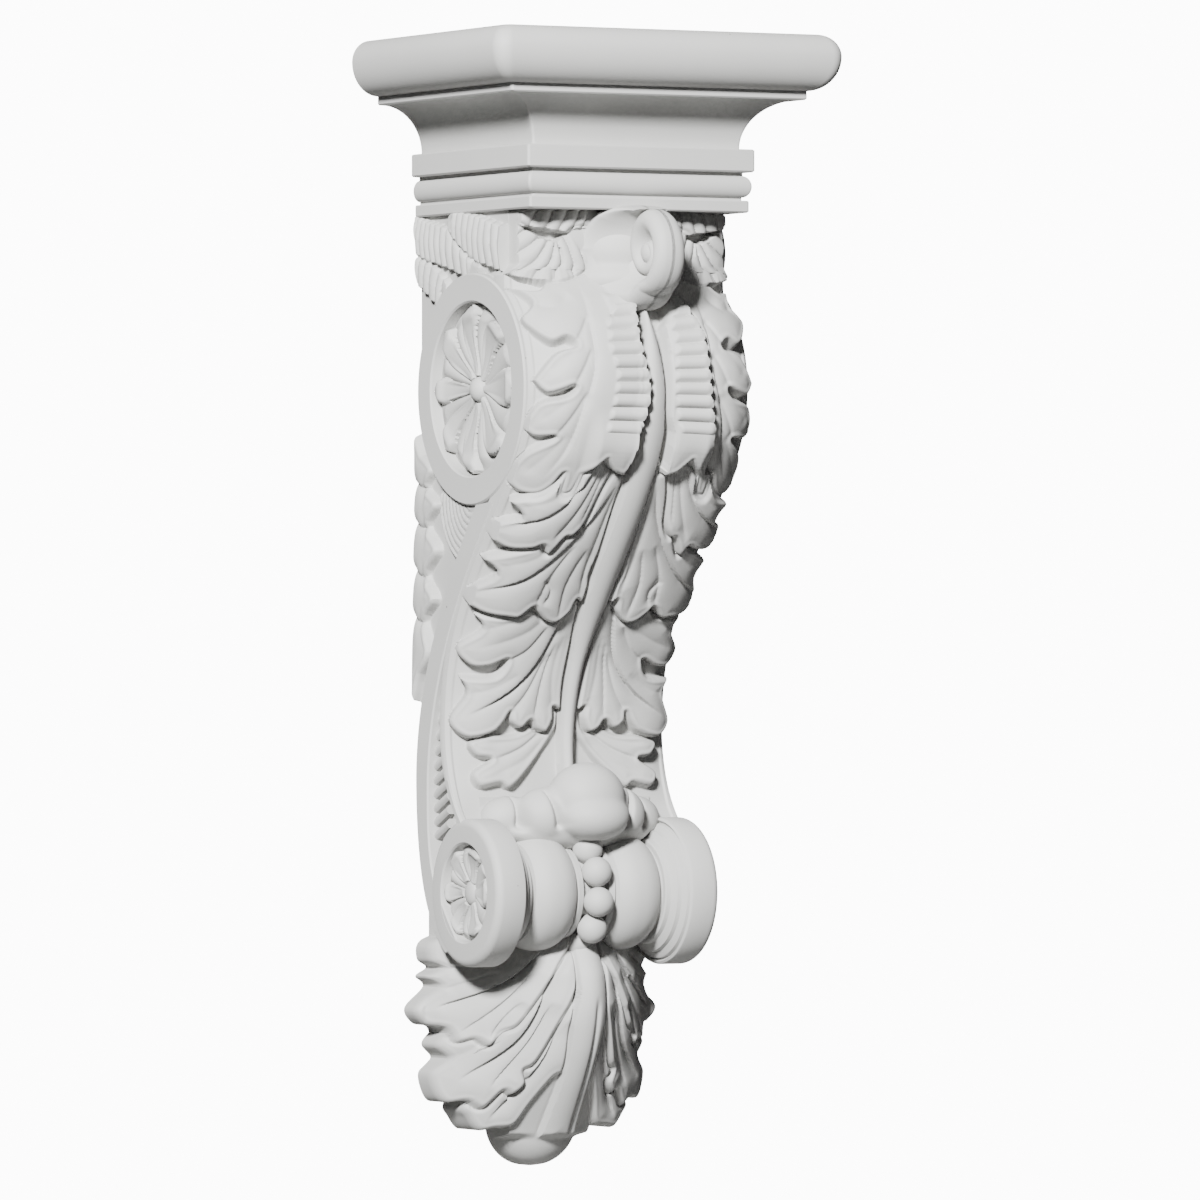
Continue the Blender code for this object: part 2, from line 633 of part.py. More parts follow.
def curl():
    """The leaf tip that rolls forward under the cap: a prow with a spiral eye on either side."""
    half, r = CURL_HALF_WIDTH, CURL_RADIUS
    profile = [(half, 0.0), (0.93 * half, 0.3 * r), (0.66 * half, 0.66 * r), (0.3 * half, 0.93 * r), (0.0, r)]
    profile = [(-x, radius) for x, radius in profile[:-1]] + profile[::-1]
    shells = [turned(profile, (CURL_REACH, CURL_HEIGHT), 18)]
    neck = (0.0, CURL_NECK_REACH, CURL_HEIGHT - 1)
    shells.append(ellipsoid(neck, (CURL_NECK_HALF_WIDTH, 34.0, r), 14, 8))
    return shells


def husk():
    """The bulbs of the husk that sits on the roll."""
    shells = [ellipsoid(HUSK_MIDDLE.centre, HUSK_MIDDLE.radii, 12, 8)]
    for bulb in HUSK_BULBS:
        shell = ellipsoid(bulb.centre, bulb.radii, 10, 7)
        shells += [shell, mirrored(shell)]
    return shells


def ladder():
    """Slanted bars in the slot between the strip and the rim."""
    shells = []
    pitch = (LADDER_TOP - LADDER_FOOT) / LADDER_BARS
    for k in range(LADDER_BARS):
        z = LADDER_TOP - k * pitch
        far = min(reach_at(EDGE, z) - RIM_WIDTH + 2, 30.0)
        rings = []
        for reach, height in ((STRIP_WALL_GAP + STRIP_WIDTH - 3, z - pitch), (far, z)):
            rings.append([(LADDER_FACE, reach, height), (LADDER_FACE, reach, height - 0.5 * pitch),
                          (CORE_HALF_WIDTH - 3, reach, height - 0.5 * pitch),
                          (CORE_HALF_WIDTH - 3, reach, height)])
        shell = loft(rings)
        shells += [shell, mirrored(shell)]
    return shells


def ruffle(path, half_height, folds, rise):
    """A crimped ribbon along a path of (x, reach, z) points with its face turned outwards."""
    count = folds * 2 + 1
    route = np.array(path, float)
    steps = np.concatenate(([0.0], np.cumsum(np.linalg.norm(np.diff(route, axis=0), axis=1))))
    top, base = [], []
    for i in range(count):
        s = steps[-1] * i / (count - 1)
        centre = np.array([np.interp(s, steps, route[:, k]) for k in range(3)])
        ahead = np.array([np.interp(min(s + 2, steps[-1]), steps, route[:, k]) for k in range(3)])
        behind = np.array([np.interp(max(s - 2, 0), steps, route[:, k]) for k in range(3)])
        heading = (ahead - behind) / np.linalg.norm(ahead - behind)
        outward = np.array((-heading[1], heading[0], 0.0))
        outward /= np.linalg.norm(outward)
        if outward[0] < 0:
            outward = -outward
        upright = np.cross(heading, outward)
        height = rise if i % 2 else rise * 0.25
        top.append([tuple(centre + outward * height * k + upright * half_height * t)
                    for t, k in ((-1.0, 0.7), (0.0, 1.0), (1.0, 0.7))])
        base.append([tuple(centre - outward * 8.0 + upright * half_height * t) for t in (-1.0, 0.0, 1.0)])
    return slab(top, base)


def ruffles():
    """The crimped ribbons under the cap, on the sides and round on to the front."""
    side = SIDE_HALF_WIDTH + 1.5
    shells = [
        ruffle([(side, 3, 206), (side, 28, 204), (side, 56, 192)], 9.0, 7, 4.0),
        ruffle([(side, 48, 212), (side, 66, 203), (side, 92, 189)], 9.0, 6, 4.0),
        ruffle([(side - 3, 96, 190), (58, 110, 189), (38, 119, 193)], 11.0, 5, 4.5),
        ruffle([(side - 5, 102, 217), (52, 112, 217), (34, 118, 219)], 6.0, 4, 4.0),
        ruffle([(side, 3, 184), (side, 14, 176)], 8.0, 2, 3.5),
    ]
    return shells + [mirrored(s) for s in shells]


def side_leaf():
    """The small leaf on the cheek, between the wall and the strip."""
    shells = []
    for finger in SIDE_FINGERS:
        grid = finger_grid(finger, 5, 3, 0.5)
        top = [[(SIDE_HALF_WIDTH + 1.0 + 0.5 * h, u, v) for u, v, h in row] for row in grid]
        base = [[(SIDE_HALF_WIDTH - 3.0, u, v) for u, v, h in row] for row in grid]
        shells.append(slab(top, base))
    return shells + [mirrored(s) for s in shells]


def pendant():
    """The leaf that hangs under the roll, ending in a round knob."""
    rings = []
    shares = (-1.0, -0.75, -0.4, 0.0, 0.4, 0.75, 1.0)
    for z in np.linspace(PENDANT_TOP, KNOB_HEIGHT - 4, 9):
        half = pendant_half_width(z)
        ring = [(half, -WALL_OVERRUN + 1, z), (-half, -WALL_OVERRUN + 1, z)]
        ring += [(s * half, pendant_surface(s * half, z) - 6.0, z) for s in shares]
        rings.append(ring)
    shells = [loft(rings)]
    centre = (0.0, KNOB_REACH * 0.4, KNOB_HEIGHT)
    shells.append(ellipsoid(centre, (KNOB_HALF_WIDTH, KNOB_REACH * 0.6, KNOB_HALF_HEIGHT), 12, 8))
    side = []
    for finger in PENDANT_FINGERS:
        grid = finger_grid(finger, 6, 4, 0.45)
        top = [[(u, pendant_surface(u, v) + h, v) for u, v, h in row] for row in grid]
        base = [[(u, -WALL_OVERRUN + 2, v) for u, v, h in row] for row in grid]
        side.append(slab(top, base))
    tongue_top, tongue_base = [], []
    for z in np.linspace(PENDANT_TOP - 8, KNOB_HEIGHT - 8, 8):
        half = 9.0
        tongue_top.append([(half * t, pendant_surface(0, z) + 3.5 - 3.0 * t * t, z) for t in (-1.0, 0.0, 1.0)])
        tongue_base.append([(half * t, 4.0, z) for t in (-1.0, 0.0, 1.0)])
    return shells + side + [mirrored(s) for s in side] + [slab(tongue_top, tongue_base)]


def wall_block():
    """What lies behind the back face, where the casting is cut off."""
    half = BAND_HALF_WIDTH + 2 * BOARD_OUTSET
    square = [(-half, -3 * WALL_OVERRUN), (half, -3 * WALL_OVERRUN), (half, 0.0), (-half, 0.0)]
    return loft([[(x, reach, z) for x, reach in square] for z in (-1.5 * CAP_TOP, 1.5 * CAP_TOP)])


# Objects

def mesh_of(name, shells):
    """One mesh of several closed shells, in metres."""
    points, faces = [], []
    for shell_points, shell_faces in shells:
        start = len(points)
        points += [(p[0] * MM, -p[1] * MM, p[2] * MM) for p in shell_points]
        faces += [tuple(start + i for i in face) for face in shell_faces]
    mesh = bpy.data.meshes.new(name)
    mesh.from_pydata(points, [], faces)
    mesh.update()
    mesh.shade_smooth()
    mesh.set_sharp_from_angle(angle=math.radians(SHARP_ANGLE))
    return mesh


def primer_material():
    material = bpy.data.materials.new("primed_foam")
    material.use_nodes = True
    shader = material.node_tree.nodes["Principled BSDF"]
    shader.inputs["Base Color"].default_value = PRIMER_COLOUR
    shader.inputs["Roughness"].default_value = PRIMER_ROUGHNESS
    shader.inputs["Metallic"].default_value = 0.0
    return material


def build():
    """The casting: its core, joined with everything that stands on it."""
    for item in list(bpy.data.objects):
        bpy.data.objects.remove(item, do_unlink=True)
    collection = bpy.context.scene.collection
    carving_shells = (cap() + side_panel() + strip() + volute() + roll() + front_leaves() + stem()
                      + straps() + curl() + husk() + ladder() + ruffles() + side_leaf() + pendant())
    carving = bpy.data.objects.new("carving", mesh_of("carving", carving_shells))
    wall = bpy.data.objects.new("wall", mesh_of("wall", [wall_block()]))
    for guide in (carving, wall):
        guide.hide_render = True
        guide.display_type = "WIRE"
    corbel = bpy.data.objects.new("corbel", mesh_of("corbel", core()))
    corbel.data.materials.append(primer_material())
    for item in (corbel, carving, wall):
        collection.objects.link(item)
    join = corbel.modifiers.new("Join carving", "BOOLEAN")
    join.operation = "UNION"
    join.solver = "EXACT"
    join.use_self = True
    join.object = carving
    cut = corbel.modifiers.new("Cut flat at the wall", "BOOLEAN")
    cut.operation = "DIFFERENCE"
    cut.solver = "EXACT"
    cut.object = wall
    thin = corbel.modifiers.new("Thin out needless faces", "DECIMATE")
    thin.decimate_type = "COLLAPSE"
    thin.ratio = FACES_KEPT
    thin.use_collapse_triangulate = True
    return corbel


build()
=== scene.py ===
"""Acanthus corbel in primed cast foam, dressed piece by piece: every fold of its carving as fine mesh.

The casting's own frame is kept: the origin lies on the flat back face, on the centre line and half
way up, with +Z up and the front towards -Y. Inside this file a point is (x, reach, z) in
millimetres, where reach is the distance out from the back face; mesh_from() turns that into metres.
"""

import math
from collections import namedtuple

import bmesh
import bpy
import numpy as np
from bpy.props import FloatProperty, IntProperty, PointerProperty, StringProperty
from mathutils import Matrix, Vector

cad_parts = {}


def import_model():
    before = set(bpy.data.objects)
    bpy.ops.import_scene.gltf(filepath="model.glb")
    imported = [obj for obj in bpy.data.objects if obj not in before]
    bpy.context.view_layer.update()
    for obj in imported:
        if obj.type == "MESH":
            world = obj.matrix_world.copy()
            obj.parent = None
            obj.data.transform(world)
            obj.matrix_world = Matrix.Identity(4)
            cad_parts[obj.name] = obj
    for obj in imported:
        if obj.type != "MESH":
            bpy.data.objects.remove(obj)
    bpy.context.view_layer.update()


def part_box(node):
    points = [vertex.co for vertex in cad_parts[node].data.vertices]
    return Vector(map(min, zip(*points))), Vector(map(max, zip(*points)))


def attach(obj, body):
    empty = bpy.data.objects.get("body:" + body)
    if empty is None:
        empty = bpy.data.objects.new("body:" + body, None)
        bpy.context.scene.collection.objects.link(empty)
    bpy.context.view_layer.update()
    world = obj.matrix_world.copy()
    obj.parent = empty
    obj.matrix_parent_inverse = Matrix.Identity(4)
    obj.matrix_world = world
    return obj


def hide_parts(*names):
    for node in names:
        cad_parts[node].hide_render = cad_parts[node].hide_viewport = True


bl_info = {
    "name": "Acanthus corbel",
    "version": (1, 0, 0),
    "blender": (4, 5, 0),
    "location": "View3D > Sidebar > Corbel",
    "description": "Models a carved scroll corbel with its moulded cap, leaves, roll and hanging leaf",
    "category": "Object",
}

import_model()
LOW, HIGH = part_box("corbel")
NODE = "corbel"
BODY = "root"

MM = 0.001

# Cap: a straight band, with the other mouldings standing out from it or set back
CAP_TOP = HIGH.z / MM
BOARD_OUTSET = 38.4
BAND_HALF_WIDTH = HIGH.x / MM - BOARD_OUTSET
BAND_REACH = -LOW.y / MM - BOARD_OUTSET
BOARD_NOSE_DROP = 12.7
BOARD_NOSE_ROUND = 12.0
FILLET_OUTSET = 21.8
FILLET_HEIGHT = 5.0
COVE_LIP = 2.6
COVE_INSET = 6.4
GROOVE_HEIGHT = 2.0
GROOVE_INSET = 5.0
TORUS_HEIGHT = 12.4
TORUS_INSET = 1.1
TORUS_BULGE = 4.4
NECK_HEIGHT = 1.6
FOOT_HEIGHT = 7.0
FOOT_INSET = 2.4
CAP_EASE = 0.8
CAP_NICK = 0.6
CAP_DRAFT = 0.1
BAND_CORNER = 1.6
NOSE_CORNER = 9.0
CAP_ROOT = 12.0

# Bracket body, seen from the side
SIDE_HALF_WIDTH = 66.5
CORE_HALF_WIDTH = 62.0
RIM_HALF_WIDTH = 71.0
RIM_WIDTH = 10.0
RIM_LIP = 3.5
RIM_NARROW = 3.5
RIM_TAPER = (-30.0, 10.0)
RIM_RISE = 1.1
ROUND_OF_FRONT = 26.0
BLOCK_REACH = 108.0
WAIST_REACH = 35.0
WAIST_HEIGHT = -70.0
HOLLOW_RADIUS = 78.0
CORE_FOOT = -192.0
BODY_DEEP = 4.0
CREST_TOP_REACH = 127.0
CREST_REACH = 159.0
CREST_WAIST_REACH = 55.0
CREST_WAIST_HEIGHT = -80.0
RELIEF = 9.0
FRONT_TOP = 233.0
LEAF_FOOT = -126.0
GROUND_POWER = 5

# Plain body: the plans of the block under the cap and of the foot are their right halves, as
# (x, reach) from the wall out
BLOCK_SETBACK = 1.0
BLOCK_PLAN = [(60, 2), (60, BLOCK_REACH - 6), (40, CREST_TOP_REACH - 10)]
FOOT_PLAN = [(55, 2), (55, 50)]
FOOT_TOP = -110.0
PLATE_DEEP = 12.0

# Upper volute
VOLUTE_REACH = 71.0
VOLUTE_HEIGHT = 122.0
VOLUTE_FACE = 72.0
BLOCK_FOOT = VOLUTE_HEIGHT + 30

# Rosettes: the button is (radius, rise), and tip and lip are shares of the way out along a petal
ROSETTE_FLOOR = 64.0
ROSETTE_SEGMENTS = 280
ROSETTE_ROWS = 44
ROSETTE_GAP = 1.5
ROSETTE_BUTTON = (7.5, 6.5)
BUTTON_ROWS = 12
PETAL_SHARE = 0.58
PETAL_BOW = 0.3
PETAL_ROOT = 2.2
PETAL_RISE = 2.4
PETAL_CROWN = 1.9
PETAL_DISH = 1.7
PETAL_TIP = 0.72
PETAL_TIP_RUN = 0.27
PETAL_LIP = 1.5
PETAL_LIP_AT = 0.86
PETAL_LIP_WIDTH = 0.08
PETAL_FOLD_ROOT = 1.6
PETAL_FOLD_RISE = 3.0
PETAL_FOLD_FOOT = 0.8

# Scroll strip
STRIP_FACE = 71.6
STRIP_ROOT = 57.0
STRIP_WALL_GAP = 2.0
STRIP_LANDING = math.radians(235)
CHEEK_OUTER = SIDE_HALF_WIDTH - 8
CHEEK_INNER = STRIP_ROOT - 6
CHEEK_DROP = 14.0
CHEEK_POINTS = 40
EDGE_ROUND = 0.9

# Roll: the turned steps between barrel and disc are (distance out from the barrel, radius)
ROLL_REACH = 62.3
ROLL_HEIGHT = -164.2
DISC_FACE = 71.7
DISC_THICKNESS = 18.0
DISC_ROUND = 4.5
DISC_STEPS = [(3.0, 30.0), (7.5, 34.5)]
DISC_STEP_TOP = 38.5
EYE_RADIUS = 28.0
EYE_DEPTH = 5.5
EYE_GAP = 1.4
EYE_BUTTON = (7.0, 4.0)
EYE_FLATNESS = 0.8
EYE_SINK = 0.8
BARREL_INNER = 14.0
BARREL_OUTER = 40.0
BARREL_END_DROP = 5.0
BARREL_POWER = 2.4
COLLAR_RADIUS = 24.0
ROLL_SEGMENTS = 160
BEAD_PITCH = math.radians(34.5)
FIRST_BEAD = math.radians(58.5)

# Curled leaf tip under the cap
CURL_REACH = 156.0
CURL_HEIGHT = 198.0
CURL_EYE = 6.5
CURL_EYE_RISE = 5.4
CURL_CREASE = 1.6
CURL_SPREAD = 20.0
CURL_START = 23.0
CURL_SHRINK = 0.26
CURL_FROM = math.radians(100)
CURL_SEGMENTS = 240
CURL_ROWS = 96
CURL_SHOULDER = 0.6
# How far the coil stands out sideways, as (degrees wound from the front over the top, distance)
CURL_CROWNS = [(95, 9), (135, 24), (175, 31), (215, 22), (260, 13), (300, 10.5), (360, 9.5), (460, 8.6),
               (560, 6.6), (720, 5.2)]

# Straps
STRAP_TOP = 163.0
STRAP_FOOT = 99.0
STRAP_STAND = 5.0
STRAP_BASE = 10.5
STRAP_ROLL = 9.0
SCALLOP_DEPTH = 1.1
RIB_DEPTH = 3.6
RIB_ROUNDNESS = 0.6
STRAP_SHADOW = 3.8
TAIL_FOOT = 76.0
TAIL_STAND = 5.0

# Stem
STEM_TOP = 165.0
STEM_FOOT = -98.0
STEM_STAND = 7.2
STEM_CROWN = 3.0

# Ladder in the slot between strip and rim
LADDER_TOP = -62.0
LADDER_FOOT = -134.0
LADDER_STAND = 1.8
LADDER_LAP = 3.0
BAR_LENGTH = 20.0
BAR_CLIMB = 9.0
BAR_HALF_SHARE = 0.33
BAR_HEIGHT = 4.0
BAR_CROWN = 1.6
BAR_ROOT = -3.0
BAR_STEPS = 9

# Pendant leaf
PENDANT_TOP = -188.0
PENDANT_CENTRE = -222.0
PENDANT_EDGE = 8.0
PENDANT_SPAN = 73.0
KNOB_HEIGHT = -297.0
KNOB_RADIUS = 26.0
KNOB_STAND = 27.0
PENDANT_CORE_HALF = 50.0
PENDANT_CORE_FOOT = -258.0
PENDANT_FAR = 112.0
PENDANT_NEAR = 20.0
PENDANT_TRIES = 230
PENDANT_SEGMENTS = 680
PENDANT_ROWS = 118
PENDANT_SOFT_EDGE = 2.0
TONGUE_STAND = 5.5
TONGUE_CROWN = 3.0
TONGUE_VEIN = 1.8

# How fine the meshes are: the pitch of the carved surfaces, the flats on a full turn, and the steps
# between two points of a smooth curve
CARVING_PITCH = 0.66
TURN_SEGMENTS = 128
SPLINE_STEPS = 5
SHARP_ANGLE = 38.0
EASED_ANGLE = 20.0

# How leaves are cut: how soft an edge is, the fine rim just inside it, how far a fold's groove and step
# spread, how far in a leaf swells, how it lies lower far from the centre line, and how deep the dark line
# along its edge is
EDGE_SOFTNESS = 1.1
EDGE_RIM = 0.8
EDGE_RIM_INSIDE = 2.0
EDGE_RIM_WIDTH = 1.3
FOLD_SOFTNESS = 0.6
TOP_LEAF_SOFTNESS = 2.6
FOLD_FADE = 0.25
GROOVE_SPREAD = 1.3
STEP_SPREAD = 2.2
PUFF_RUN = 3.2
FAR_LEAF_DROP = 0.3
FAR_LEAF_FROM = 50.0
FAR_LEAF_RUN = 20.0
LEAF_CREASE = 3.0
STEM_CREASE = 3.6
TOP_LEAF_CREASE = 2.2
SIDE_CREASE = 1.6
PENDANT_CREASE = 2.4
TONGUE_CREASE = 2.6

# A sheet of leaf on the right half, seen from the front as (x, z): its outline, in which a point given
# twice is a corner; the point it grows from; its height over the ground there and at its far tips; how
# much it swells inside its edge; and its folds.
Sheet = namedtuple("Sheet", "outline root low high puff folds")

# A fold is a soft groove along a few points. Step is how much more the side on its left stands up.
Fold = namedtuple("Fold", "route depth width step")

LOWEST_LEAF = Sheet(
    [(3, -50), (16, -65), (32, -74), (52, -75), (59, -80), (55, -87), (47, -89), (58, -97), (55, -105),
     (43, -103), (36, -105), (22, -92), (9, -76), (3, -64)],
    (4, -56), 1.5, 5.5, 3.0,
    [Fold([(9, -66), (28, -81), (47, -89)], 1.8, 1.8, 0.8),
     Fold([(16, -70), (32, -77), (50, -80)], 1.0, 1.8, 0.0),
     Fold([(12, -76), (28, -90), (49, -99)], 1.4, 2.0, 0.0)])

WAIST_LEAF = Sheet(
    [(6, 34), (28, 16), (43, -3), (65, -3), (65, -3), (59, -12), (68, -23), (61, -33), (52, -33), (43, -29),
     (48, -39), (65, -40), (65, -40), (61, -50), (68, -66), (60, -76), (47, -73), (41, -67), (37, -60),
     (36, -66), (30, -70), (24, -65), (20, -70), (14, -72), (10, -64), (10, -57), (5, -58), (6, -40)],
    (10, 14), 2.0, 7.0, 3.2,
    [Fold([(14, 10), (19, -12), (26, -31), (39, -47), (61, -63)], 2.6, 1.6, 2.0),
     Fold([(24, 4), (34, -12), (60, -23)], 1.4, 2.2, 0.0),
     Fold([(36, -1), (47, -8), (59, -12)], 1.0, 1.8, 0.0),
     Fold([(24, -8), (33, -22), (44, -30)], 1.3, 2.2, 0.6),
     Fold([(34, -36), (47, -45), (61, -50)], 1.2, 2.0, 0.0),
     Fold([(19, -24), (28, -46), (38, -61)], 2.0, 1.9, 0.6),
     Fold([(16, -18), (21, -44), (23, -65)], 1.8, 1.9, 0.6),
     Fold([(12, -14), (14, -38), (11, -60)], 1.4, 1.6, 0.0)])

SHOULDER_LEAF = Sheet(
    [(9, 82), (24, 72), (34, 54), (46, 39), (57, 33), (69, 29), (69, 29), (60, 20), (71, 8), (62, -1),
     (50, -3), (44, -3), (38, 3), (35, 0), (29, -5), (22, -6), (15, 0), (13, 7), (9, 5), (8, 14), (10, 22),
     (8, 40)],
    (12, 60), 2.5, 7.5, 3.2,
    [Fold([(13, 70), (21, 52), (32, 35), (48, 19), (66, 10)], 2.4, 1.6, 1.8),
     Fold([(34, 42), (46, 30), (61, 25)], 1.2, 2.0, 0.0),
     Fold([(25, 38), (35, 20), (38, 3)], 1.8, 1.9, 0.6),
     Fold([(38, 18), (32, 12), (34, 4)], 1.6, 1.5, 0.8),
     Fold([(18, 36), (24, 16), (22, -4)], 1.8, 1.9, 0.6),
     Fold([(11, 72), (14, 44), (15, 24), (13, 7)], 1.8, 1.5, 0.6)])

UPPER_LEAF = Sheet(
    [(14, 104), (36, 102), (44, 84), (50, 70), (67, 61), (67, 61), (59, 52), (73, 47), (62, 36), (50, 36),
     (45, 38), (41, 33), (35, 42), (31, 43), (26, 50), (22, 66), (16, 86)],
    (22, 90), 4.0, 7.5, 3.2,
    [Fold([(26, 92), (34, 70), (48, 54), (67, 47)], 2.2, 1.6, 1.4),
     Fold([(36, 72), (49, 62), (62, 58)], 1.2, 2.0, 0.0),
     Fold([(23, 86), (32, 60), (43, 40)], 1.8, 1.9, 0.6),
     Fold([(20, 92), (25, 68), (30, 47)], 1.6, 1.7, 0.6)])

TOP_LEAF = Sheet(
    [(9, 184), (44, 184), (56, 174), (69, 177), (69, 177), (62, 167), (69, 159), (66, 152), (58, 145),
     (50, 147), (46, 143), (57, 139), (68, 125), (68, 125), (61, 118), (48, 122), (52, 117), (65, 113),
     (71, 100), (71, 100), (65, 95), (55, 95), (67, 86), (71, 73), (65, 65), (56, 64), (50, 69), (46, 76),
     (45, 65), (39, 66), (37, 76), (37, 76), (27, 86), (27, 86), (20, 79), (13, 77), (13, 77), (10, 90),
     (9, 130)],
    (24, 130), 9.5, 3.4, 2.2,
    [Fold([(34, 178), (36, 150), (37, 130), (43, 109), (48, 88), (56, 72)], 2.0, 2.6, -0.8),
     Fold([(37, 158), (47, 144)], 1.4, 2.0, 0.6),
     Fold([(38, 142), (49, 122)], 1.6, 2.0, 0.6),
     Fold([(41, 120), (56, 95)], 1.6, 2.0, 0.6),
     Fold([(42, 170), (52, 163), (62, 166)], 1.8, 2.4, 0.0),
     Fold([(42, 146), (60, 128)], 1.0, 2.6, 0.0),
     Fold([(43, 122), (64, 103)], 1.0, 2.6, 0.0),
     Fold([(48, 98), (65, 74)], 1.2, 2.8, 0.0)])

LEAVES_UNDER_STEM = [LOWEST_LEAF, WAIST_LEAF, SHOULDER_LEAF, UPPER_LEAF]

# Half the stem's width at each height
STEM_HALF_WIDTHS = [(165, 1.0), (150, 3.5), (125, 7.0), (100, 8.6), (28, 8.0), (5, 7.4), (-29, 4.4),
                    (-98, 3.6)]

# The straps' edges, as (height, distance from the centre line). The left one stands up along its inner
# edge, over the stem, and the right one along its outer edge.
LEFT_STRAP_INNER = [(168, 8.0), (160, 9.0), (146, 11.5), (137, 10.0), (127, 7.0), (117, 6.5), (103, 10.0),
                    (99, 11.0), (76, 13.0)]
LEFT_STRAP_OUTER = [(160, 22.0), (154, 28.0), (142, 30.0), (128, 26.5), (117, 28.0), (106, 30.0), (99, 32.0)]
RIGHT_STRAP_INNER = [(160, 18.0), (153, 12.5), (142, 13.0), (132, 11.0), (118, 11.0), (107, 13.0),
                     (99, 16.0)]
RIGHT_STRAP_OUTER = [(168, 22.0), (159, 25.0), (148, 30.0), (132, 30.5), (118, 32.0), (100, 36.5),
                     (76, 41.0)]

# The middle of the hanging leaf, seen from the side as (reach, z)
PENDANT_CREST = [(62, -188), (73, -206), (76, -216), (76, -228), (73, -240), (66, -256), (56, -272),
                 (46, -286), (36, -300), (26, -316), (14, -330)]
PENDANT_SHEETS = [
    Sheet([(3, -205), (20, -240), (40, -270), (53, -286), (50, -294), (44, -301), (36, -300), (26, -298),
           (20, -285), (12, -270), (4, -262)],
          (8, -215), 1.0, 3.5, 4.0,
          [Fold([(14, -236), (22, -264), (42, -296)], 4.0, 3.2, 1.6)]),
    Sheet([(4, -195), (40, -220), (60, -243), (67, -252), (61, -260), (69, -268), (67, -279), (62, -285),
           (53, -284), (45, -288), (37, -278), (32, -280), (27, -274), (29, -266), (24, -261), (16, -240),
           (6, -215)],
          (12, -205), 2.5, 7.0, 4.2,
          [Fold([(19, -204), (25, -226), (36, -251), (60, -273)], 5.0, 3.4, 2.2),
           Fold([(44, -243), (54, -255), (63, -260)], 2.4, 2.6, 0.0),
           Fold([(20, -226), (29, -250), (45, -277)], 4.0, 3.0, 1.2)]),
    Sheet([(4, -186), (40, -186), (67, -192), (70, -203), (64, -208), (71, -213), (66, -219), (78, -231),
           (73, -240), (64, -242), (60, -250), (53, -248), (47, -252), (42, -244), (36, -240), (28, -226),
           (16, -206)],
          (16, -195), 3.5, 10.0, 4.2,
          [Fold([(22, -196), (42, -216), (70, -231)], 4.6, 3.4, 2.2),
           Fold([(36, -198), (52, -205), (65, -208)], 3.0, 2.8, 1.0),
           Fold([(44, -209), (56, -215), (66, -220)], 2.2, 2.4, 0.6),
           Fold([(26, -207), (43, -228), (61, -246)], 4.0, 3.2, 1.2),
           Fold([(34, -226), (42, -236), (48, -249)], 3.0, 2.6, 1.0)]),
]
TONGUE_HALF_WIDTHS = [(-186, 7.0), (-204, 8.0), (-225, 9.0), (-240, 10.5), (-262, 9.0), (-280, 9.5),
                      (-310, 11.0)]

# A pleated ribbon along a few points: narrow is how much of its width it has where it starts
Ribbon = namedtuple("Ribbon", "route half_width lift narrow")
FRONT_RIBBONS = [
    Ribbon([(72, 223), (50, 220), (30, 217)], 8.5, 9.0, 1.0),
    Ribbon([(72, 203), (58, 194), (44, 192), (32, 199)], 12.5, 6.5, 0.9),
]
SIDE_RIBBONS = [
    Ribbon([(-2, 194), (12, 188), (30, 178)], 8.5, 2.0, 0.9),
    Ribbon([(-2, 213), (15, 208), (40, 203), (70, 195)], 10.5, 3.0, 0.9),
    Ribbon([(48, 217), (66, 211), (86, 205), (110, 200)], 12.0, 4.0, 0.45),
]
PLEAT_PITCH = 7.0
PLEAT_DEPTH = 2.8
PLEAT_SLANT = 0.035
PLEAT_SCALLOP = 0.9
RIBBON_WIDENING = 1.6
RIBBON_END = 1.5
RIBBON_DROOP = 0.03

# The leaf by the wall and the shell under the volute's ring, seen from the side as (reach, z)
SIDE_LEAF = Sheet(
    [(-3, 88), (8, 86), (21, 77), (13, 67), (27, 57), (14, 45), (28, 31), (13, 17), (25, 3), (11, -9),
     (19, -27), (8, -40), (-3, -48)],
    (0, 92), 3.0, 4.5, 2.6,
    [Fold([(-3, 72), (6, 68), (15, 67)], 3.0, 3.0, 0.8),
     Fold([(-3, 50), (6, 45), (16, 45)], 3.2, 3.0, 0.8),
     Fold([(-3, 24), (6, 17), (15, 17)], 3.2, 3.0, 0.8),
     Fold([(-3, -3), (5, -9), (13, -9)], 3.0, 3.0, 0.8)])
SHELL_CENTRE = (66.0, 60.0)
SHELL_RADIUS = 40.0
SHELL_PITCH = 4.0
SHELL_RIDGE = 1.2
SHELL_STAND = 1.4
SIDE_FOOT = -70.0
SIDE_PITCH = 0.95
SIDE_SKIN = 0.2
SIDE_ROOT = 9.0
SIDE_LAP = 4.0
SIDE_POINTS = 44
HIDDEN_DEPTH = -5.0
WALL_SKIN = 0.3

# Bulbs of the husk over the roll: centre, then half width, half reach and half height
Bulb = namedtuple("Bulb", "centre radii")
HUSK_BULBS = [
    Bulb((40, 56, -122), (17, 14, 13)),
    Bulb((23, 69, -120), (17, 17, 16)),
]
HUSK_MIDDLE = [
    Bulb((0, 76, -111), (23, 21, 21)),
    Bulb((1, 82, -121), (22, 20, 14)),
    Bulb((0, 58, -129), (49, 26, 13)),
]
# Drop-shaped pits of the husk, narrow above and wide below, as (x, z)
HUSK_PITS = [[(40.5, -109), (39.5, -126)], [(27, -107), (21, -125)]]
PIT_DEPTH = 5.0

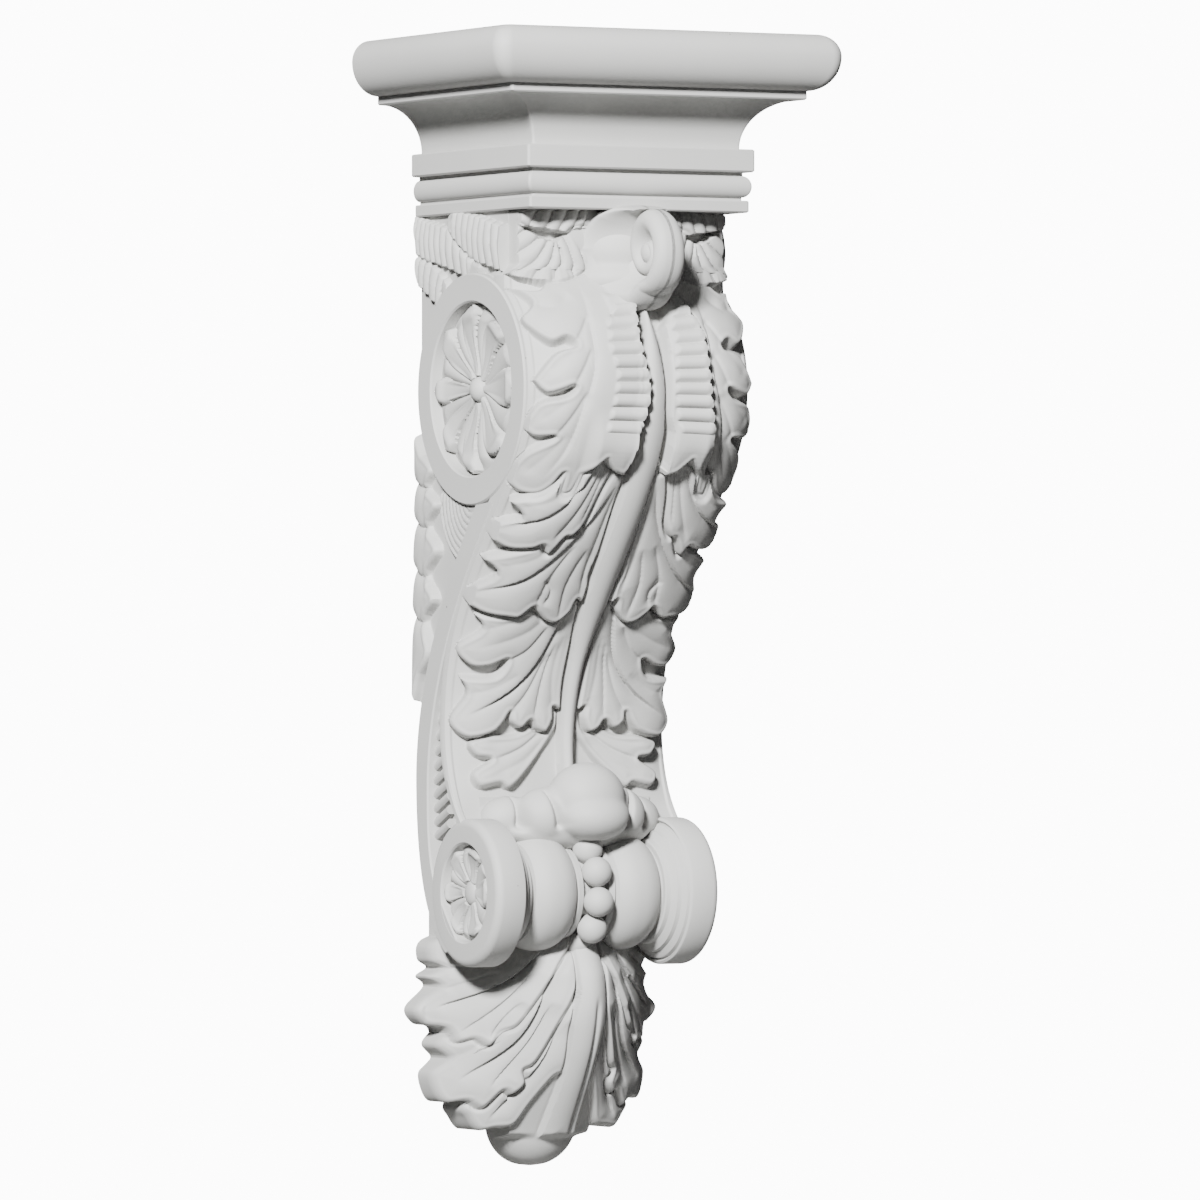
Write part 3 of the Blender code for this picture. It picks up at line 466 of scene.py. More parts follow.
# The curl's neck, and how fine the melted forms are: the voxel, then the smoothing and its rounds
NECK_BULBS = [Bulb((0, 112, 200), (30, 28, 22)), Bulb((0, 118, 184), (30, 24, 13))]
Melt = namedtuple("Melt", "voxel smoothing rounds")
NECK_MELT = Melt(1.2, 0.6, 22)
HUSK_MELT = Melt(0.8, 0.5, 50)

# Camera: where it stands for the three-quarter view, with its turn and rise in radians, and its long lens
CAMERA_TURN = 0.4921619
CAMERA_RISE = 0.0062172
CAMERA_SIDE = 43.74
CAMERA_HEIGHT = 2.92
CAMERA_DISTANCE = 5772.7
CAMERA_LENS = 300.0
CAMERA_SENSOR = 36.0

# Floor, and the surround: dim all round, and bright within a few degrees of straight behind the corbel
FLOOR_HEIGHT = -1600.0
FLOOR_RADIUS = 800.0
SURROUND_DIM = 0.06
SURROUND_BRIGHT = 12.0
SURROUND_INNER = 5.2
SURROUND_OUTER = 6.2
FLOOR_ROUGHNESS = 0.8

# Primer: its refraction and gloss, then in millimetres the clouds of the spray, the spacing of the
# pin-holes, whose shade is painted as dark spots, and the grain of its skin
PRIMER_IOR = 1.49
PRIMER_GLOSS = 0.35
CLOUD_SIZE = 45.0
PIN_HOLE_SPACING = 34.0
PIN_HOLE_SHARE = 0.018
# Painted shade: the colour of the dark spots that stand in for the shade inside pin-holes
PIN_HOLE_SHADE = "6E6E6C"
SKIN_GRAIN = 1.6
SKIN_DEPTH = 0.2
SKIN_STRENGTH = 0.06

# Each light: name, degrees to the right of the front, degrees up, distance and size in metres, watts
STUDIO_LIGHTS = [
    ("key", -40.0, 26.0, 4.0, 0.5, 600.0),
    ("left fill", -20.0, 4.0, 4.5, 2.0, 6.0),
]


class CorbelSizes(bpy.types.PropertyGroup):
    """Sizes that a user would change."""

    board_thickness: FloatProperty(
        name="Board thickness", description="Height of the cap's bullnosed board",
        default=0.032, min=0.02, max=0.05, unit="LENGTH")
    cove_height: FloatProperty(
        name="Cove height", description="Height of the hollow moulding under the board",
        default=0.0275, min=0.01, max=0.05, unit="LENGTH")
    band_height: FloatProperty(
        name="Band height", description="Height of the straight band under the cove",
        default=0.0131, min=0.005, max=0.03, unit="LENGTH")
    volute_radius: FloatProperty(
        name="Volute radius", description="Outer radius of the flat ring round each rosette",
        default=0.066, min=0.05, max=0.08, unit="LENGTH")
    rosette_radius: FloatProperty(
        name="Rosette radius", description="Radius of the sunk rosette",
        default=0.0495, min=0.03, max=0.06, unit="LENGTH")
    rosette_petals: IntProperty(
        name="Rosette petals", description="Large petals round the rosette's button",
        default=8, min=5, max=12)
    strip_width: FloatProperty(
        name="Strip width", description="Width of the scroll strip on the side",
        default=0.015, min=0.008, max=0.025, unit="LENGTH")
    disc_radius: FloatProperty(
        name="Disc radius", description="Radius of the discs that end the roll",
        default=0.0422, min=0.03, max=0.05, unit="LENGTH")
    barrel_radius: FloatProperty(
        name="Barrel radius", description="Largest radius of the roll's two barrels",
        default=0.0335, min=0.025, max=0.04, unit="LENGTH")
    eye_petals: IntProperty(
        name="Eye petals", description="Petals in the sunk eye of each disc",
        default=6, min=4, max=8)
    bead_radius: FloatProperty(
        name="Bead radius", description="Radius of the beads round the middle of the roll",
        default=0.0086, min=0.005, max=0.012, unit="LENGTH")
    bead_circle: FloatProperty(
        name="Bead circle", description="Distance from the roll's axis to the middle of a bead",
        default=0.029, min=0.02, max=0.035, unit="LENGTH")
    beads: IntProperty(
        name="Beads", description="Beads round the front of the roll",
        default=6, min=3, max=9)
    curl_radius: FloatProperty(
        name="Curl radius", description="Radius of the rolled leaf tip under the cap",
        default=0.0245, min=0.015, max=0.03, unit="LENGTH")
    strap_ribs: IntProperty(
        name="Strap ribs", description="Ribs across each strap",
        default=10, min=5, max=16)
    ladder_bars: IntProperty(
        name="Ladder bars", description="Slanted bars between strip and rim",
        default=10, min=5, max=16)


class CorbelFinish(bpy.types.PropertyGroup):
    """Colours of the primer and the floor, and how the primer takes the light."""

    primer: StringProperty(
        name="Primer", description="Colour of the factory primer, as an sRGB hex value", default="B8B8B6")
    shade: StringProperty(
        name="Primer in the hollows", description="Colour where the spray lies thin", default="B0B0AE")
    floor: StringProperty(
        name="Floor", description="Colour of the studio floor, as an sRGB hex value", default="F2F2F0")
    roughness: FloatProperty(
        name="Primer roughness", description="How matt the primer is",
        default=0.62, min=0.0, max=1.0, subtype="FACTOR")


def mm(name):
    """One of the user's sizes, in millimetres."""
    return getattr(bpy.context.scene.corbel_sizes, name) / MM


# Curves

def arc(centre, radius, start, end, steps):
    """Points of a circle's arc from start to end, in degrees, both ends included."""
    rx, ry = radius if isinstance(radius, tuple) else (radius, radius)
    turns = [math.radians(start + (end - start) * i / steps) for i in range(steps + 1)]
    return [(centre[0] + rx * math.cos(a), centre[1] + ry * math.sin(a)) for a in turns]


def bezier(p0, p1, p2, p3, steps):
    """Points of a cubic curve, both ends included."""
    points = []
    for i in range(steps + 1):
        t = i / steps
        weights = ((1 - t) ** 3, 3 * t * (1 - t) ** 2, 3 * t * t * (1 - t), t ** 3)
        points.append(tuple(sum(w * p[k] for w, p in zip(weights, (p0, p1, p2, p3))) for k in (0, 1)))
    return points


def reach_at(line, z):
    """Reach of a (reach, z) line that runs down from the top, at one height or many."""
    heights = [p[1] for p in reversed(line)]
    reaches = [p[0] for p in reversed(line)]
    return np.interp(z, heights, reaches)


def cap_foot():
    """Height of the underside of the cap."""
    mouldings = (mm("board_thickness"), FILLET_HEIGHT, mm("cove_height"), mm("band_height"), GROOVE_HEIGHT,
                 TORUS_HEIGHT, NECK_HEIGHT, FOOT_HEIGHT)
    return CAP_TOP - sum(mouldings)


def edge_line():
    """The front corner of the bracket's side: block, volute, S-curve and hollow, from the top down."""
    radius = mm("volute_radius")
    block_angle = math.degrees(math.acos((BLOCK_REACH - VOLUTE_REACH) / radius))
    shoulder = (VOLUTE_REACH + radius, VOLUTE_HEIGHT)
    waist = (WAIST_REACH, WAIST_HEIGHT)
    fall = shoulder[1] - waist[1]
    line = [(BLOCK_REACH, cap_foot() + CAP_ROOT)]
    line += arc((VOLUTE_REACH, VOLUTE_HEIGHT), radius, block_angle, 0, 40)
    line += bezier(shoulder, (shoulder[0], shoulder[1] - 0.31 * fall),
                   (waist[0], waist[1] + 0.52 * fall), waist, 80)[1:]
    line += arc((WAIST_REACH + HOLLOW_RADIUS, WAIST_HEIGHT), HOLLOW_RADIUS, 180, 224, 40)[1:]
    line.append((line[-1][0], CORE_FOOT))
    return line


def crest_line():
    """The crest of the leaves on the centre line, from the top down."""
    radius = mm("volute_radius")
    shoulder = (CREST_REACH, VOLUTE_HEIGHT)
    waist = (CREST_WAIST_REACH, CREST_WAIST_HEIGHT)
    fall = shoulder[1] - waist[1]
    line = [(CREST_TOP_REACH, cap_foot() + CAP_ROOT)]
    line += bezier((CREST_TOP_REACH, VOLUTE_HEIGHT + radius),
                   (CREST_TOP_REACH + 6, VOLUTE_HEIGHT + 0.75 * radius),
                   (CREST_REACH, VOLUTE_HEIGHT + 0.6 * radius), shoulder, 40)
    line += bezier(shoulder, (shoulder[0], shoulder[1] - 0.35 * fall),
                   (waist[0], waist[1] + 0.4 * fall), waist, 80)[1:]
    foot = CREST_WAIST_HEIGHT - 60
    line += bezier(waist, (waist[0], waist[1] - 20), (waist[0] + 6, foot + 20), (waist[0] + 8, foot), 20)[1:]
    return line


def ground_surface(x, z):
    """Reach of the smooth ground that the leaves stand on, for arrays of x and z."""
    edge = reach_at(edge_line(), z)
    swell = np.maximum(reach_at(crest_line(), z) - edge - RELIEF, 0.0)
    return edge + swell * (1 - np.minimum(np.abs(x) / RIM_HALF_WIDTH, 1.0) ** GROUND_POWER)


def pendant_surface(x, z):
    """Reach of the hanging leaf: a spoon that swells under the roll and thins to its knob."""
    crest = reach_at(spline(PENDANT_CREST, False).tolist(), z)
    across = np.minimum(np.abs(x) / PENDANT_SPAN, 1.0)
    return PENDANT_EDGE + np.maximum(crest - PENDANT_EDGE, 0) * np.cos(across * math.pi / 2) ** 1.15


# Shells: arrays of (x, reach, z) points with lists of faces

def loft(rings):
    """A closed solid through rings of as many points each, its ends closed to their middles."""
    rings = np.asarray(rings, float)
    count, around = rings.shape[:2]
    r, c = np.meshgrid(np.arange(count - 1), np.arange(around), indexing="ij")
    a, b = r * around + c, r * around + (c + 1) % around
    faces = np.stack((a, a + around, b + around, b), axis=-1).reshape(-1, 4).tolist()
    points = np.vstack((rings.reshape(-1, 3), rings[0].mean(axis=0), rings[-1].mean(axis=0)))
    first, last = count * around, count * around + 1
    foot = (count - 1) * around
    for i in range(around):
        j = (i + 1) % around
        faces.append([first, i, j])
        faces.append([last, foot + j, foot + i])
    return points, faces


def slab(top, base):
    """A closed slab between two grids of points with as many rows."""
    return loft(np.concatenate((top, base[:, ::-1]), axis=1))


def turned(profile, centre, segments=TURN_SEGMENTS):
    """A solid turned about an axis along X, from a profile of (x, radius)."""
    angles = np.linspace(0, 2 * math.pi, segments, endpoint=False)
    rings = [[(x, centre[0] + radius * math.cos(a), centre[1] + radius * math.sin(a)) for a in angles]
             for x, radius in profile]
    return loft(rings)


def egg(centre, radii, segments=32, rows=20):
    """A closed egg of given half sizes."""
    rings = []
    for r in range(1, rows):
        down = math.pi * r / rows
        rings.append([(centre[0] + radii[0] * math.sin(down) * math.cos(a),
                       centre[1] + radii[1] * math.sin(down) * math.sin(a),
                       centre[2] + radii[2] * math.cos(down))
                      for a in np.linspace(0, 2 * math.pi, segments, endpoint=False)])
    points, faces = loft(rings)
    points[-2] = (centre[0], centre[1], centre[2] + radii[2])
    points[-1] = (centre[0], centre[1], centre[2] - radii[2])
    return points, faces


def mirrored(shell):
    """The same shell on the other side of the centre line."""
    points, faces = shell
    return np.asarray(points) * (-1, 1, 1), [list(reversed(f)) for f in faces]


def both(shells):
    """Shells on the right, and their mirror images on the left."""
    return list(shells) + [mirrored(s) for s in shells]


# Carving: sheets of leaf laid over one another on a smooth ground

def smooth_step(values):
    """An even rise from 0 to 1, with soft ends, for values from 0 to 1."""
    t = np.clip(values, 0.0, 1.0)
    return t * t * (3 - 2 * t)


def spline(points, closed):
    """A smooth curve through the points; a point given twice is a corner."""
    given = [np.array(p, float) for p in points]
    ring = [given[-1]] + given + given[:2] if closed else [given[0]] + given + [given[-1]]
    curve = []
    for p0, p1, p2, p3 in zip(ring, ring[1:], ring[2:], ring[3:]):
        if np.allclose(p1, p2):
            continue
        for t in np.arange(SPLINE_STEPS) / SPLINE_STEPS:
            curve.append(0.5 * (2 * p1 + (p2 - p0) * t + (2 * p0 - 5 * p1 + 4 * p2 - p3) * t * t
                                + (3 * p1 - p0 - 3 * p2 + p3) * t ** 3))
    curve.append(curve[0] if closed else given[-1])
    return np.array(curve)


def nearest(route, x, z):
    """How far points are from a route, how far along it from 0 to 1, and on which side: left is +1."""
    best = np.full(x.shape, np.inf)
    along = np.zeros(x.shape)
    side = np.ones(x.shape)
    last = len(route) - 1
    for k in range(last):
        a, span = route[k], route[k + 1] - route[k]
        share = np.clip(((x - a[0]) * span[0] + (z - a[1]) * span[1]) / (span @ span), 0, 1)
        dx, dz = x - a[0] - share * span[0], z - a[1] - share * span[1]
        distance = dx * dx + dz * dz
        closer = distance < best
        best = np.where(closer, distance, best)
        along = np.where(closer, (k + share) / last, along)
        side = np.where(closer, np.sign(span[0] * dz - span[1] * dx), side)
    return np.sqrt(best), along, side


def depth_inside(outline, x, z):
    """How far points lie inside a closed outline, less than nothing outside it."""
    distance = nearest(outline, x, z)[0]
    odd = np.zeros(x.shape, bool)
    for a, b in zip(outline[:-1], outline[1:]):
        if a[1] != b[1]:
            odd ^= ((a[1] > z) != (b[1] > z)) & (x < (b[0] - a[0]) * (z - a[1]) / (b[1] - a[1]) + a[0])
    return np.where(odd, distance, -distance)


def sheet_field(x, z, sheet):
    """How far points lie inside a sheet's outline, and the sheet's height there."""
    outline = spline(sheet.outline, True)
    inside = depth_inside(outline, x, z)
    span = np.hypot(outline[:, 0] - sheet.root[0], outline[:, 1] - sheet.root[1]).max()
    run = smooth_step(np.hypot(x - sheet.root[0], z - sheet.root[1]) / span)
    height = sheet.low + (sheet.high - sheet.low) * run
    height *= 1 - FAR_LEAF_DROP * smooth_step((np.abs(x) - FAR_LEAF_FROM) / FAR_LEAF_RUN)
    height += sheet.puff * (1 - np.exp(-np.maximum(inside, 0) / PUFF_RUN))
    height += EDGE_RIM * np.exp(-((inside - EDGE_RIM_INSIDE) / EDGE_RIM_WIDTH) ** 2)
    for fold in sheet.folds:
        distance, along, side = nearest(spline(fold.route, False), x, z)
        side = side * smooth_step(distance / FOLD_SOFTNESS)
        distance = np.sqrt(distance ** 2 + FOLD_SOFTNESS ** 2)
        fade = smooth_step(along / FOLD_FADE) * smooth_step((1 - along) / FOLD_FADE)
        height -= fold.depth * np.exp(-distance / (GROOVE_SPREAD * fold.width)) * fade
        height += fold.step * side * np.exp(-distance / (STEP_SPREAD * fold.width)) * fade
    return inside, height


def lay_over(total, inside, height, crease, softness=EDGE_SOFTNESS):
    """A sheet laid over the carving so far, with a dark line sunk along its edge."""
    cover = smooth_step(inside / softness + 0.5)
    groove = crease * np.exp(-(inside + 1.0) ** 2) * smooth_step(total / 2.0)
    return (total - groove) * (1 - cover) + height * cover


def width_at(table, z):
    """A width or distance from a table of (height, distance) that runs downwards."""
    return np.interp(z, [p[0] for p in reversed(table)], [p[1] for p in reversed(table)])


def lay_stem(total, x, z):
    """The stem on the centre line, ridged along its middle."""
    half = width_at(STEM_HALF_WIDTHS, z)
    inside = np.minimum(half - x, np.minimum(z - STEM_FOOT, STEM_TOP - z))
    height = STEM_STAND + STEM_CROWN * (1 - (1 - np.clip((half - x) / half, 0, 1)) ** 2)
    return lay_over(total, inside, height, STEM_CREASE)


def strap_tables(side):
    """The inner and outer edge of one strap; side is -1 for the left one and 1 for the right one."""
    if side < 0:
        return LEFT_STRAP_INNER, LEFT_STRAP_OUTER
    return RIGHT_STRAP_INNER, RIGHT_STRAP_OUTER


def lay_strap(total, x, z, side):
    """A ribbed strap with one scalloped, standing edge, which ends in a forked tail."""
    count = bpy.context.scene.corbel_sizes.strap_ribs
    pitch = (STRAP_TOP - STRAP_FOOT) / count
    wave = np.abs(np.sin(math.pi * (z - STRAP_FOOT) / pitch)) ** RIB_ROUNDNESS
    ribbed = smooth_step((z - STRAP_FOOT) / 1.5) * smooth_step((STRAP_TOP - z) / 3)
    inner, outer = (width_at(table, z) for table in strap_tables(side))
    scallop = SCALLOP_DEPTH * wave * ribbed
    if side < 0:
        inside = x - inner + scallop
        soft = outer - x
        soft_edge = smooth_step(soft / 1.0 + 12)
        bed = np.maximum(total, STRAP_BASE * smooth_step((z - 94) / 10) * smooth_step((30 - x) / 8))
    else:
        inside = outer + scallop - x
        soft = x - inner
        soft_edge = smooth_step(soft / 2.0 + 1)
        bed = total
    swell = STRAP_STAND * np.exp(-np.maximum(inside, 0) / STRAP_ROLL) * smooth_step((z - TAIL_FOOT) / 20)
    ribs = RIB_DEPTH * (wave - 0.5) * ribbed * smooth_step(soft / 2.5)
    ribs *= 0.3 + 0.7 * smooth_step(inside / 3.5)
    height = bed + swell + ribs
    zone = smooth_step((z - TAIL_FOOT) / 1.0) * smooth_step((STRAP_TOP + 8 - z) / 6)
    cover = smooth_step(inside / EDGE_SOFTNESS + 0.5) * zone * soft_edge
    groove = STRAP_SHADOW * np.exp(-((inside - scallop + 2.6) / 1.7) ** 2) * zone * (x < 45)
    return (total - groove) * (1 - cover) + height * cover


def carve_front(x, z, side):
    """Height of the carving over the ground on one half of the front."""
    total = np.zeros(x.shape)
    for sheet in LEAVES_UNDER_STEM:
        total = lay_over(total, *sheet_field(x, z, sheet), LEAF_CREASE)
    total = lay_stem(total, x, z)
    inside, height = sheet_field(x, z, TOP_LEAF)
    inner = width_at(strap_tables(side)[0], z) - (0 if side < 0 else 3.0)
    inside = np.where((z > 80) & (x < 30), np.minimum(inside, x - inner), inside)
    tail = smooth_step((112 - z) / 22) * smooth_step((40 - x) / 8)
    softness = TOP_LEAF_SOFTNESS + (EDGE_SOFTNESS - TOP_LEAF_SOFTNESS) * tail
    total = lay_over(total, inside, height + TAIL_STAND * tail, TOP_LEAF_CREASE, softness)
    total = lay_strap(total, x, z, side)
    return lay_ribbons(total, x, z, FRONT_RIBBONS)


def normals_of(grid):
    """Unit normals of a grid of points, turned to the side that faces out from the wall."""
    down = np.gradient(grid, axis=0)
    across = np.gradient(grid, axis=1)
    normal = np.cross(down, across)
    normal /= np.linalg.norm(normal, axis=2, keepdims=True)
    return np.where(normal[..., 1:2] < 0, -normal, normal)


def even_rows(top, foot, line, pitch):
    """Heights from top to foot, evenly spaced along a (reach, z) line."""
    z = np.linspace(top, foot, 2000)
    run = np.concatenate(([0], np.cumsum(np.hypot(np.diff(z), np.diff(reach_at(line, z))))))
    return np.interp(np.linspace(0, run[-1], int(run[-1] / pitch)), run, z)


# Blender objects

def hex_to_linear(text):
    """An sRGB hex value as linear red, green, blue and alpha."""
    channels = [int(text[i:i + 2], 16) / 255 for i in (0, 2, 4)]
    return tuple(c / 12.92 if c <= 0.04045 else ((c + 0.055) / 1.055) ** 2.4 for c in channels) + (1.0,)


def add_node(tree, kind, settings=None, values=None, links=None):
    """A node with its settings, its sockets' values, and what its sockets are fed from."""
    node = tree.nodes.new(kind)
    for name, value in (settings or {}).items():
        setattr(node, name, value)
    for name, value in (values or {}).items():
        node.inputs[name].default_value = value
    for name, source in (links or {}).items():
        tree.links.new(source, node.inputs[name])
    return node


def primer_material():
    """Sprayed acrylic primer on moulded urethane foam: matt, close to white, with faint cloudiness
    from the spray, a fine orange-peel skin, and a rare pin-hole where a bubble broke the surface,
    painted as a dark spot that stands in for the shade inside the hole."""
    found = bpy.data.materials.get("Primed cast foam")
    if found:
        return found
    finish = bpy.context.scene.corbel_finish
    material = bpy.data.materials.new("Primed cast foam")
    material.use_nodes = True
    tree = material.node_tree
    shader = tree.nodes["Principled BSDF"]
    shader.inputs["Roughness"].default_value = finish.roughness
    shader.inputs["IOR"].default_value = PRIMER_IOR
    shader.inputs["Specular IOR Level"].default_value = PRIMER_GLOSS
    place = add_node(tree, "ShaderNodeTexCoord").outputs["Object"]
    cloud = add_node(tree, "ShaderNodeTexNoise", values={"Scale": 1 / (CLOUD_SIZE * MM), "Detail": 3.0},
                     links={"Vector": place})
    colour = add_node(tree, "ShaderNodeMix", {"data_type": "RGBA"}, links={0: cloud.outputs["Fac"]})
    colour.inputs[6].default_value = hex_to_linear(finish.shade)
    colour.inputs[7].default_value = hex_to_linear(finish.primer)
    # Painted shade: sparse dark spots where pin-holes would be, standing in for the shade inside them; the
    # mesh has no holes
    cells = add_node(tree, "ShaderNodeTexVoronoi", values={"Scale": 1 / (PIN_HOLE_SPACING * MM)},
                     links={"Vector": place})
    hole = add_node(tree, "ShaderNodeMath", {"operation": "LESS_THAN"}, {1: PIN_HOLE_SHARE},
                    {0: cells.outputs["Distance"]})
    holed = add_node(tree, "ShaderNodeMix", {"data_type": "RGBA"}, links={0: hole.outputs[0]})
    holed.inputs[7].default_value = hex_to_linear(PIN_HOLE_SHADE)
    tree.links.new(colour.outputs[2], holed.inputs[6])
    tree.links.new(holed.outputs[2], shader.inputs["Base Color"])
    skin = add_node(tree, "ShaderNodeTexNoise", values={"Scale": 1 / (SKIN_GRAIN * MM), "Detail": 2.0},
                    links={"Vector": place})
    bump = add_node(tree, "ShaderNodeBump", values={"Strength": SKIN_STRENGTH, "Distance": SKIN_DEPTH * MM},
                    links={"Height": skin.outputs["Fac"]})
    tree.links.new(bump.outputs["Normal"], shader.inputs["Normal"])
    return material


def mesh_from(name, shells):
    """One mesh of several closed shells, in metres, with its faces pointing outwards."""
    points, faces = [], []
    for shell_points, shell_faces in shells:
        start = sum(len(p) for p in points)
        array = np.asarray(shell_points, float) * (MM, -MM, MM)
        points.append(array)
        faces += [[start + i for i in face] for face in shell_faces]
    mesh = bpy.data.meshes.new(name)
    mesh.from_pydata(np.vstack(points).tolist(), [], faces)
    mesh.update()
    work = bmesh.new()
    work.from_mesh(mesh)
    bmesh.ops.recalc_face_normals(work, faces=work.faces)
    work.to_mesh(mesh)
    work.free()
    return mesh


def piece(name, mesh, angle=SHARP_ANGLE):
    """A finished piece of the casting, painted and parented to the body's empty, with the solid that it
    stands for hidden.
    """
    mesh.shade_smooth()
    mesh.set_sharp_from_angle(angle=math.radians(angle))
    mesh.materials.clear()
    mesh.materials.append(primer_material())
    item = bpy.data.objects.new(name, mesh)
    bpy.context.scene.collection.objects.link(item)
    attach(item, BODY)
    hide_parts(NODE)
    return item


def helper(name, mesh):
    """An object that only lives while its modifiers are worked out."""
    item = bpy.data.objects.new(name, mesh)
    bpy.context.scene.collection.objects.link(item)
    return item


def plain_mesh(name, item):
    """A helper's mesh with its modifiers applied; the helper is removed."""
    bpy.context.view_layer.update()
    graph = bpy.context.evaluated_depsgraph_get()
    result = bpy.data.meshes.new_from_object(item.evaluated_get(graph))
    result.name = name
    bpy.data.objects.remove(item, do_unlink=True)
    return result


def melted(name, shells, melt):
    """Closed shells melted into one soft form."""
    item = helper(name, mesh_from(name, shells))
    remesh = item.modifiers.new("Remesh", "REMESH")
    remesh.mode = "VOXEL"
    remesh.voxel_size = melt.voxel * MM
    smooth = item.modifiers.new("Smooth", "SMOOTH")
    smooth.factor = melt.smoothing
    smooth.iterations = melt.rounds
    return plain_mesh(name, item)


def copies_tree():
    """Geometry nodes: copies of a shape in a row or round an axis, each moved and turned on from the last."""
    tree = bpy.data.node_groups.new("Repeat a shape", "GeometryNodeTree")
    interface = tree.interface
    interface.new_socket("Geometry", in_out="OUTPUT", socket_type="NodeSocketGeometry")
    for name, kind in (("Shape", "Geometry"), ("Copies", "Int"), ("Start", "Vector"), ("Step", "Vector"),
                       ("First turn", "Vector"), ("Turn", "Vector"), ("Finish", "Material")):
        interface.new_socket(name, in_out="INPUT", socket_type="NodeSocket" + kind)
    given = add_node(tree, "NodeGroupInput")
    number = add_node(tree, "GeometryNodeInputIndex").outputs[0]
    place = add_node(tree, "ShaderNodeVectorMath", {"operation": "MULTIPLY_ADD"},
                     links={0: given.outputs["Step"], 1: number, 2: given.outputs["Start"]})
    turn = add_node(tree, "ShaderNodeVectorMath", {"operation": "MULTIPLY_ADD"},
                    links={0: given.outputs["Turn"], 1: number, 2: given.outputs["First turn"]})
    points = add_node(tree, "GeometryNodePoints",
                      links={"Count": given.outputs["Copies"], "Position": place.outputs[0]})
    rotation = add_node(tree, "FunctionNodeEulerToRotation", links={0: turn.outputs[0]})
    spread = add_node(tree, "GeometryNodeInstanceOnPoints",
                      links={"Points": points.outputs[0], "Instance": given.outputs["Shape"],
                             "Rotation": rotation.outputs[0]})
    real = add_node(tree, "GeometryNodeRealizeInstances", links={0: spread.outputs[0]})
    painted = add_node(tree, "GeometryNodeSetMaterial",
                       links={"Geometry": real.outputs[0], "Material": given.outputs["Finish"]})
    add_node(tree, "NodeGroupOutput", links={0: painted.outputs[0]})
    return tree


def copies(name, mesh, count, start, step=(0, 0, 0), first_turn=(0, 0, 0), turn=(0, 0, 0)):
    """Copies of a mesh as one mesh. Places are (x, reach, z) in millimetres, turns in radians."""
    tree = bpy.data.node_groups.get("Repeat a shape") or copies_tree()
    item = helper(name, mesh)
    modifier = item.modifiers.new("Repeat", "NODES")
    modifier.node_group = tree
    values = {"Copies": count, "Start": world(start), "Step": world(step), "First turn": first_turn,
              "Turn": turn, "Finish": primer_material()}
    for socket in tree.interface.items_tree:
        if socket.name in values and socket.in_out == "INPUT":
            modifier[socket.identifier] = values[socket.name]
    return plain_mesh(name, item)


def world(point):
    """A point or a step of (x, reach, z) millimetres in metres."""
    return (point[0] * MM, -point[1] * MM, point[2] * MM)


def with_mirror(name, mesh):
    """A mesh together with its mirror image across the centre line."""
    work = bmesh.new()
    work.from_mesh(mesh)
    geometry = bmesh.ops.duplicate(work, geom=work.verts[:] + work.edges[:] + work.faces[:])["geom"]
    verts = [g for g in geometry if isinstance(g, bmesh.types.BMVert)]
    faces = [g for g in geometry if isinstance(g, bmesh.types.BMFace)]
    bmesh.ops.scale(work, vec=(-1, 1, 1), verts=verts)
    bmesh.ops.reverse_faces(work, faces=faces)
    joined = bpy.data.meshes.new(name)
    work.to_mesh(joined)
    work.free()
    return joined


# Pieces

def cap_profile():
    """(outset, height) of the cap's profile from its top edge down; outset is from the band's face."""
    board, cove, band = mm("board_thickness"), mm("cove_height"), mm("band_height")
    nose = CAP_TOP - BOARD_NOSE_DROP
    under = CAP_TOP - board
    profile = arc((BOARD_OUTSET - BOARD_NOSE_ROUND, nose), (BOARD_NOSE_ROUND, BOARD_NOSE_DROP), 90, 0, 12)
    profile += arc((FILLET_OUTSET, nose), (BOARD_OUTSET - FILLET_OUTSET, nose - under), 0, -90, 14)[1:]
    z = under - FILLET_HEIGHT
    profile += [(FILLET_OUTSET, under - CAP_NICK), (FILLET_OUTSET, z + CAP_EASE),
                (FILLET_OUTSET - CAP_EASE, z)]
    lip = FILLET_OUTSET - COVE_LIP
    profile += arc((lip, z - cove), (lip + COVE_INSET, cove), 90, 180, 18)
    z -= cove
    profile += [(-CAP_EASE, z - CAP_DRAFT), (0.0, z - CAP_EASE)]
    z -= band
    profile += [(0.0, z + CAP_EASE), (-CAP_EASE, z), (-GROOVE_INSET, z - 2 * CAP_DRAFT),
                (-GROOVE_INSET, z - GROOVE_HEIGHT)]
    z -= GROOVE_HEIGHT
    neck = -TORUS_INSET - TORUS_BULGE
    profile += arc((neck, z - TORUS_HEIGHT / 2), (TORUS_BULGE, TORUS_HEIGHT / 2), 80, -90, 14)
    z -= TORUS_HEIGHT + NECK_HEIGHT
    profile += [(neck, z), (-FOOT_INSET - CAP_NICK, z - CAP_DRAFT), (-FOOT_INSET, z - CAP_EASE)]
    z -= FOOT_HEIGHT
    profile += [(-FOOT_INSET, z + CAP_EASE), (-FOOT_INSET - CAP_EASE, z)]
    return profile


def plan_ring(outset, z):
    """One level of the cap: a rectangle against the back face, with its two front corners rounded."""
    half = BAND_HALF_WIDTH + outset
    reach = BAND_REACH + outset
    share = max(outset - FILLET_OUTSET, 0.0) / (BOARD_OUTSET - FILLET_OUTSET)
    r = BAND_CORNER + (NOSE_CORNER - BAND_CORNER) * share
    ring = [(-half, 0.0, z)]
    ring += [(p[0], p[1], z) for p in arc((-half + r, reach - r), r, 180, 90, 10)]
    ring += [(p[0], p[1], z) for p in arc((half - r, reach - r), r, 90, 0, 10)]
    ring.append((half, 0.0, z))
    return ring


def make_cap():
    """The moulded cap, one level of its profile after another."""
    rings = [plan_ring(outset, z) for outset, z in cap_profile()]
    piece("moulded_cap", mesh_from("moulded_cap", [loft(rings)]))


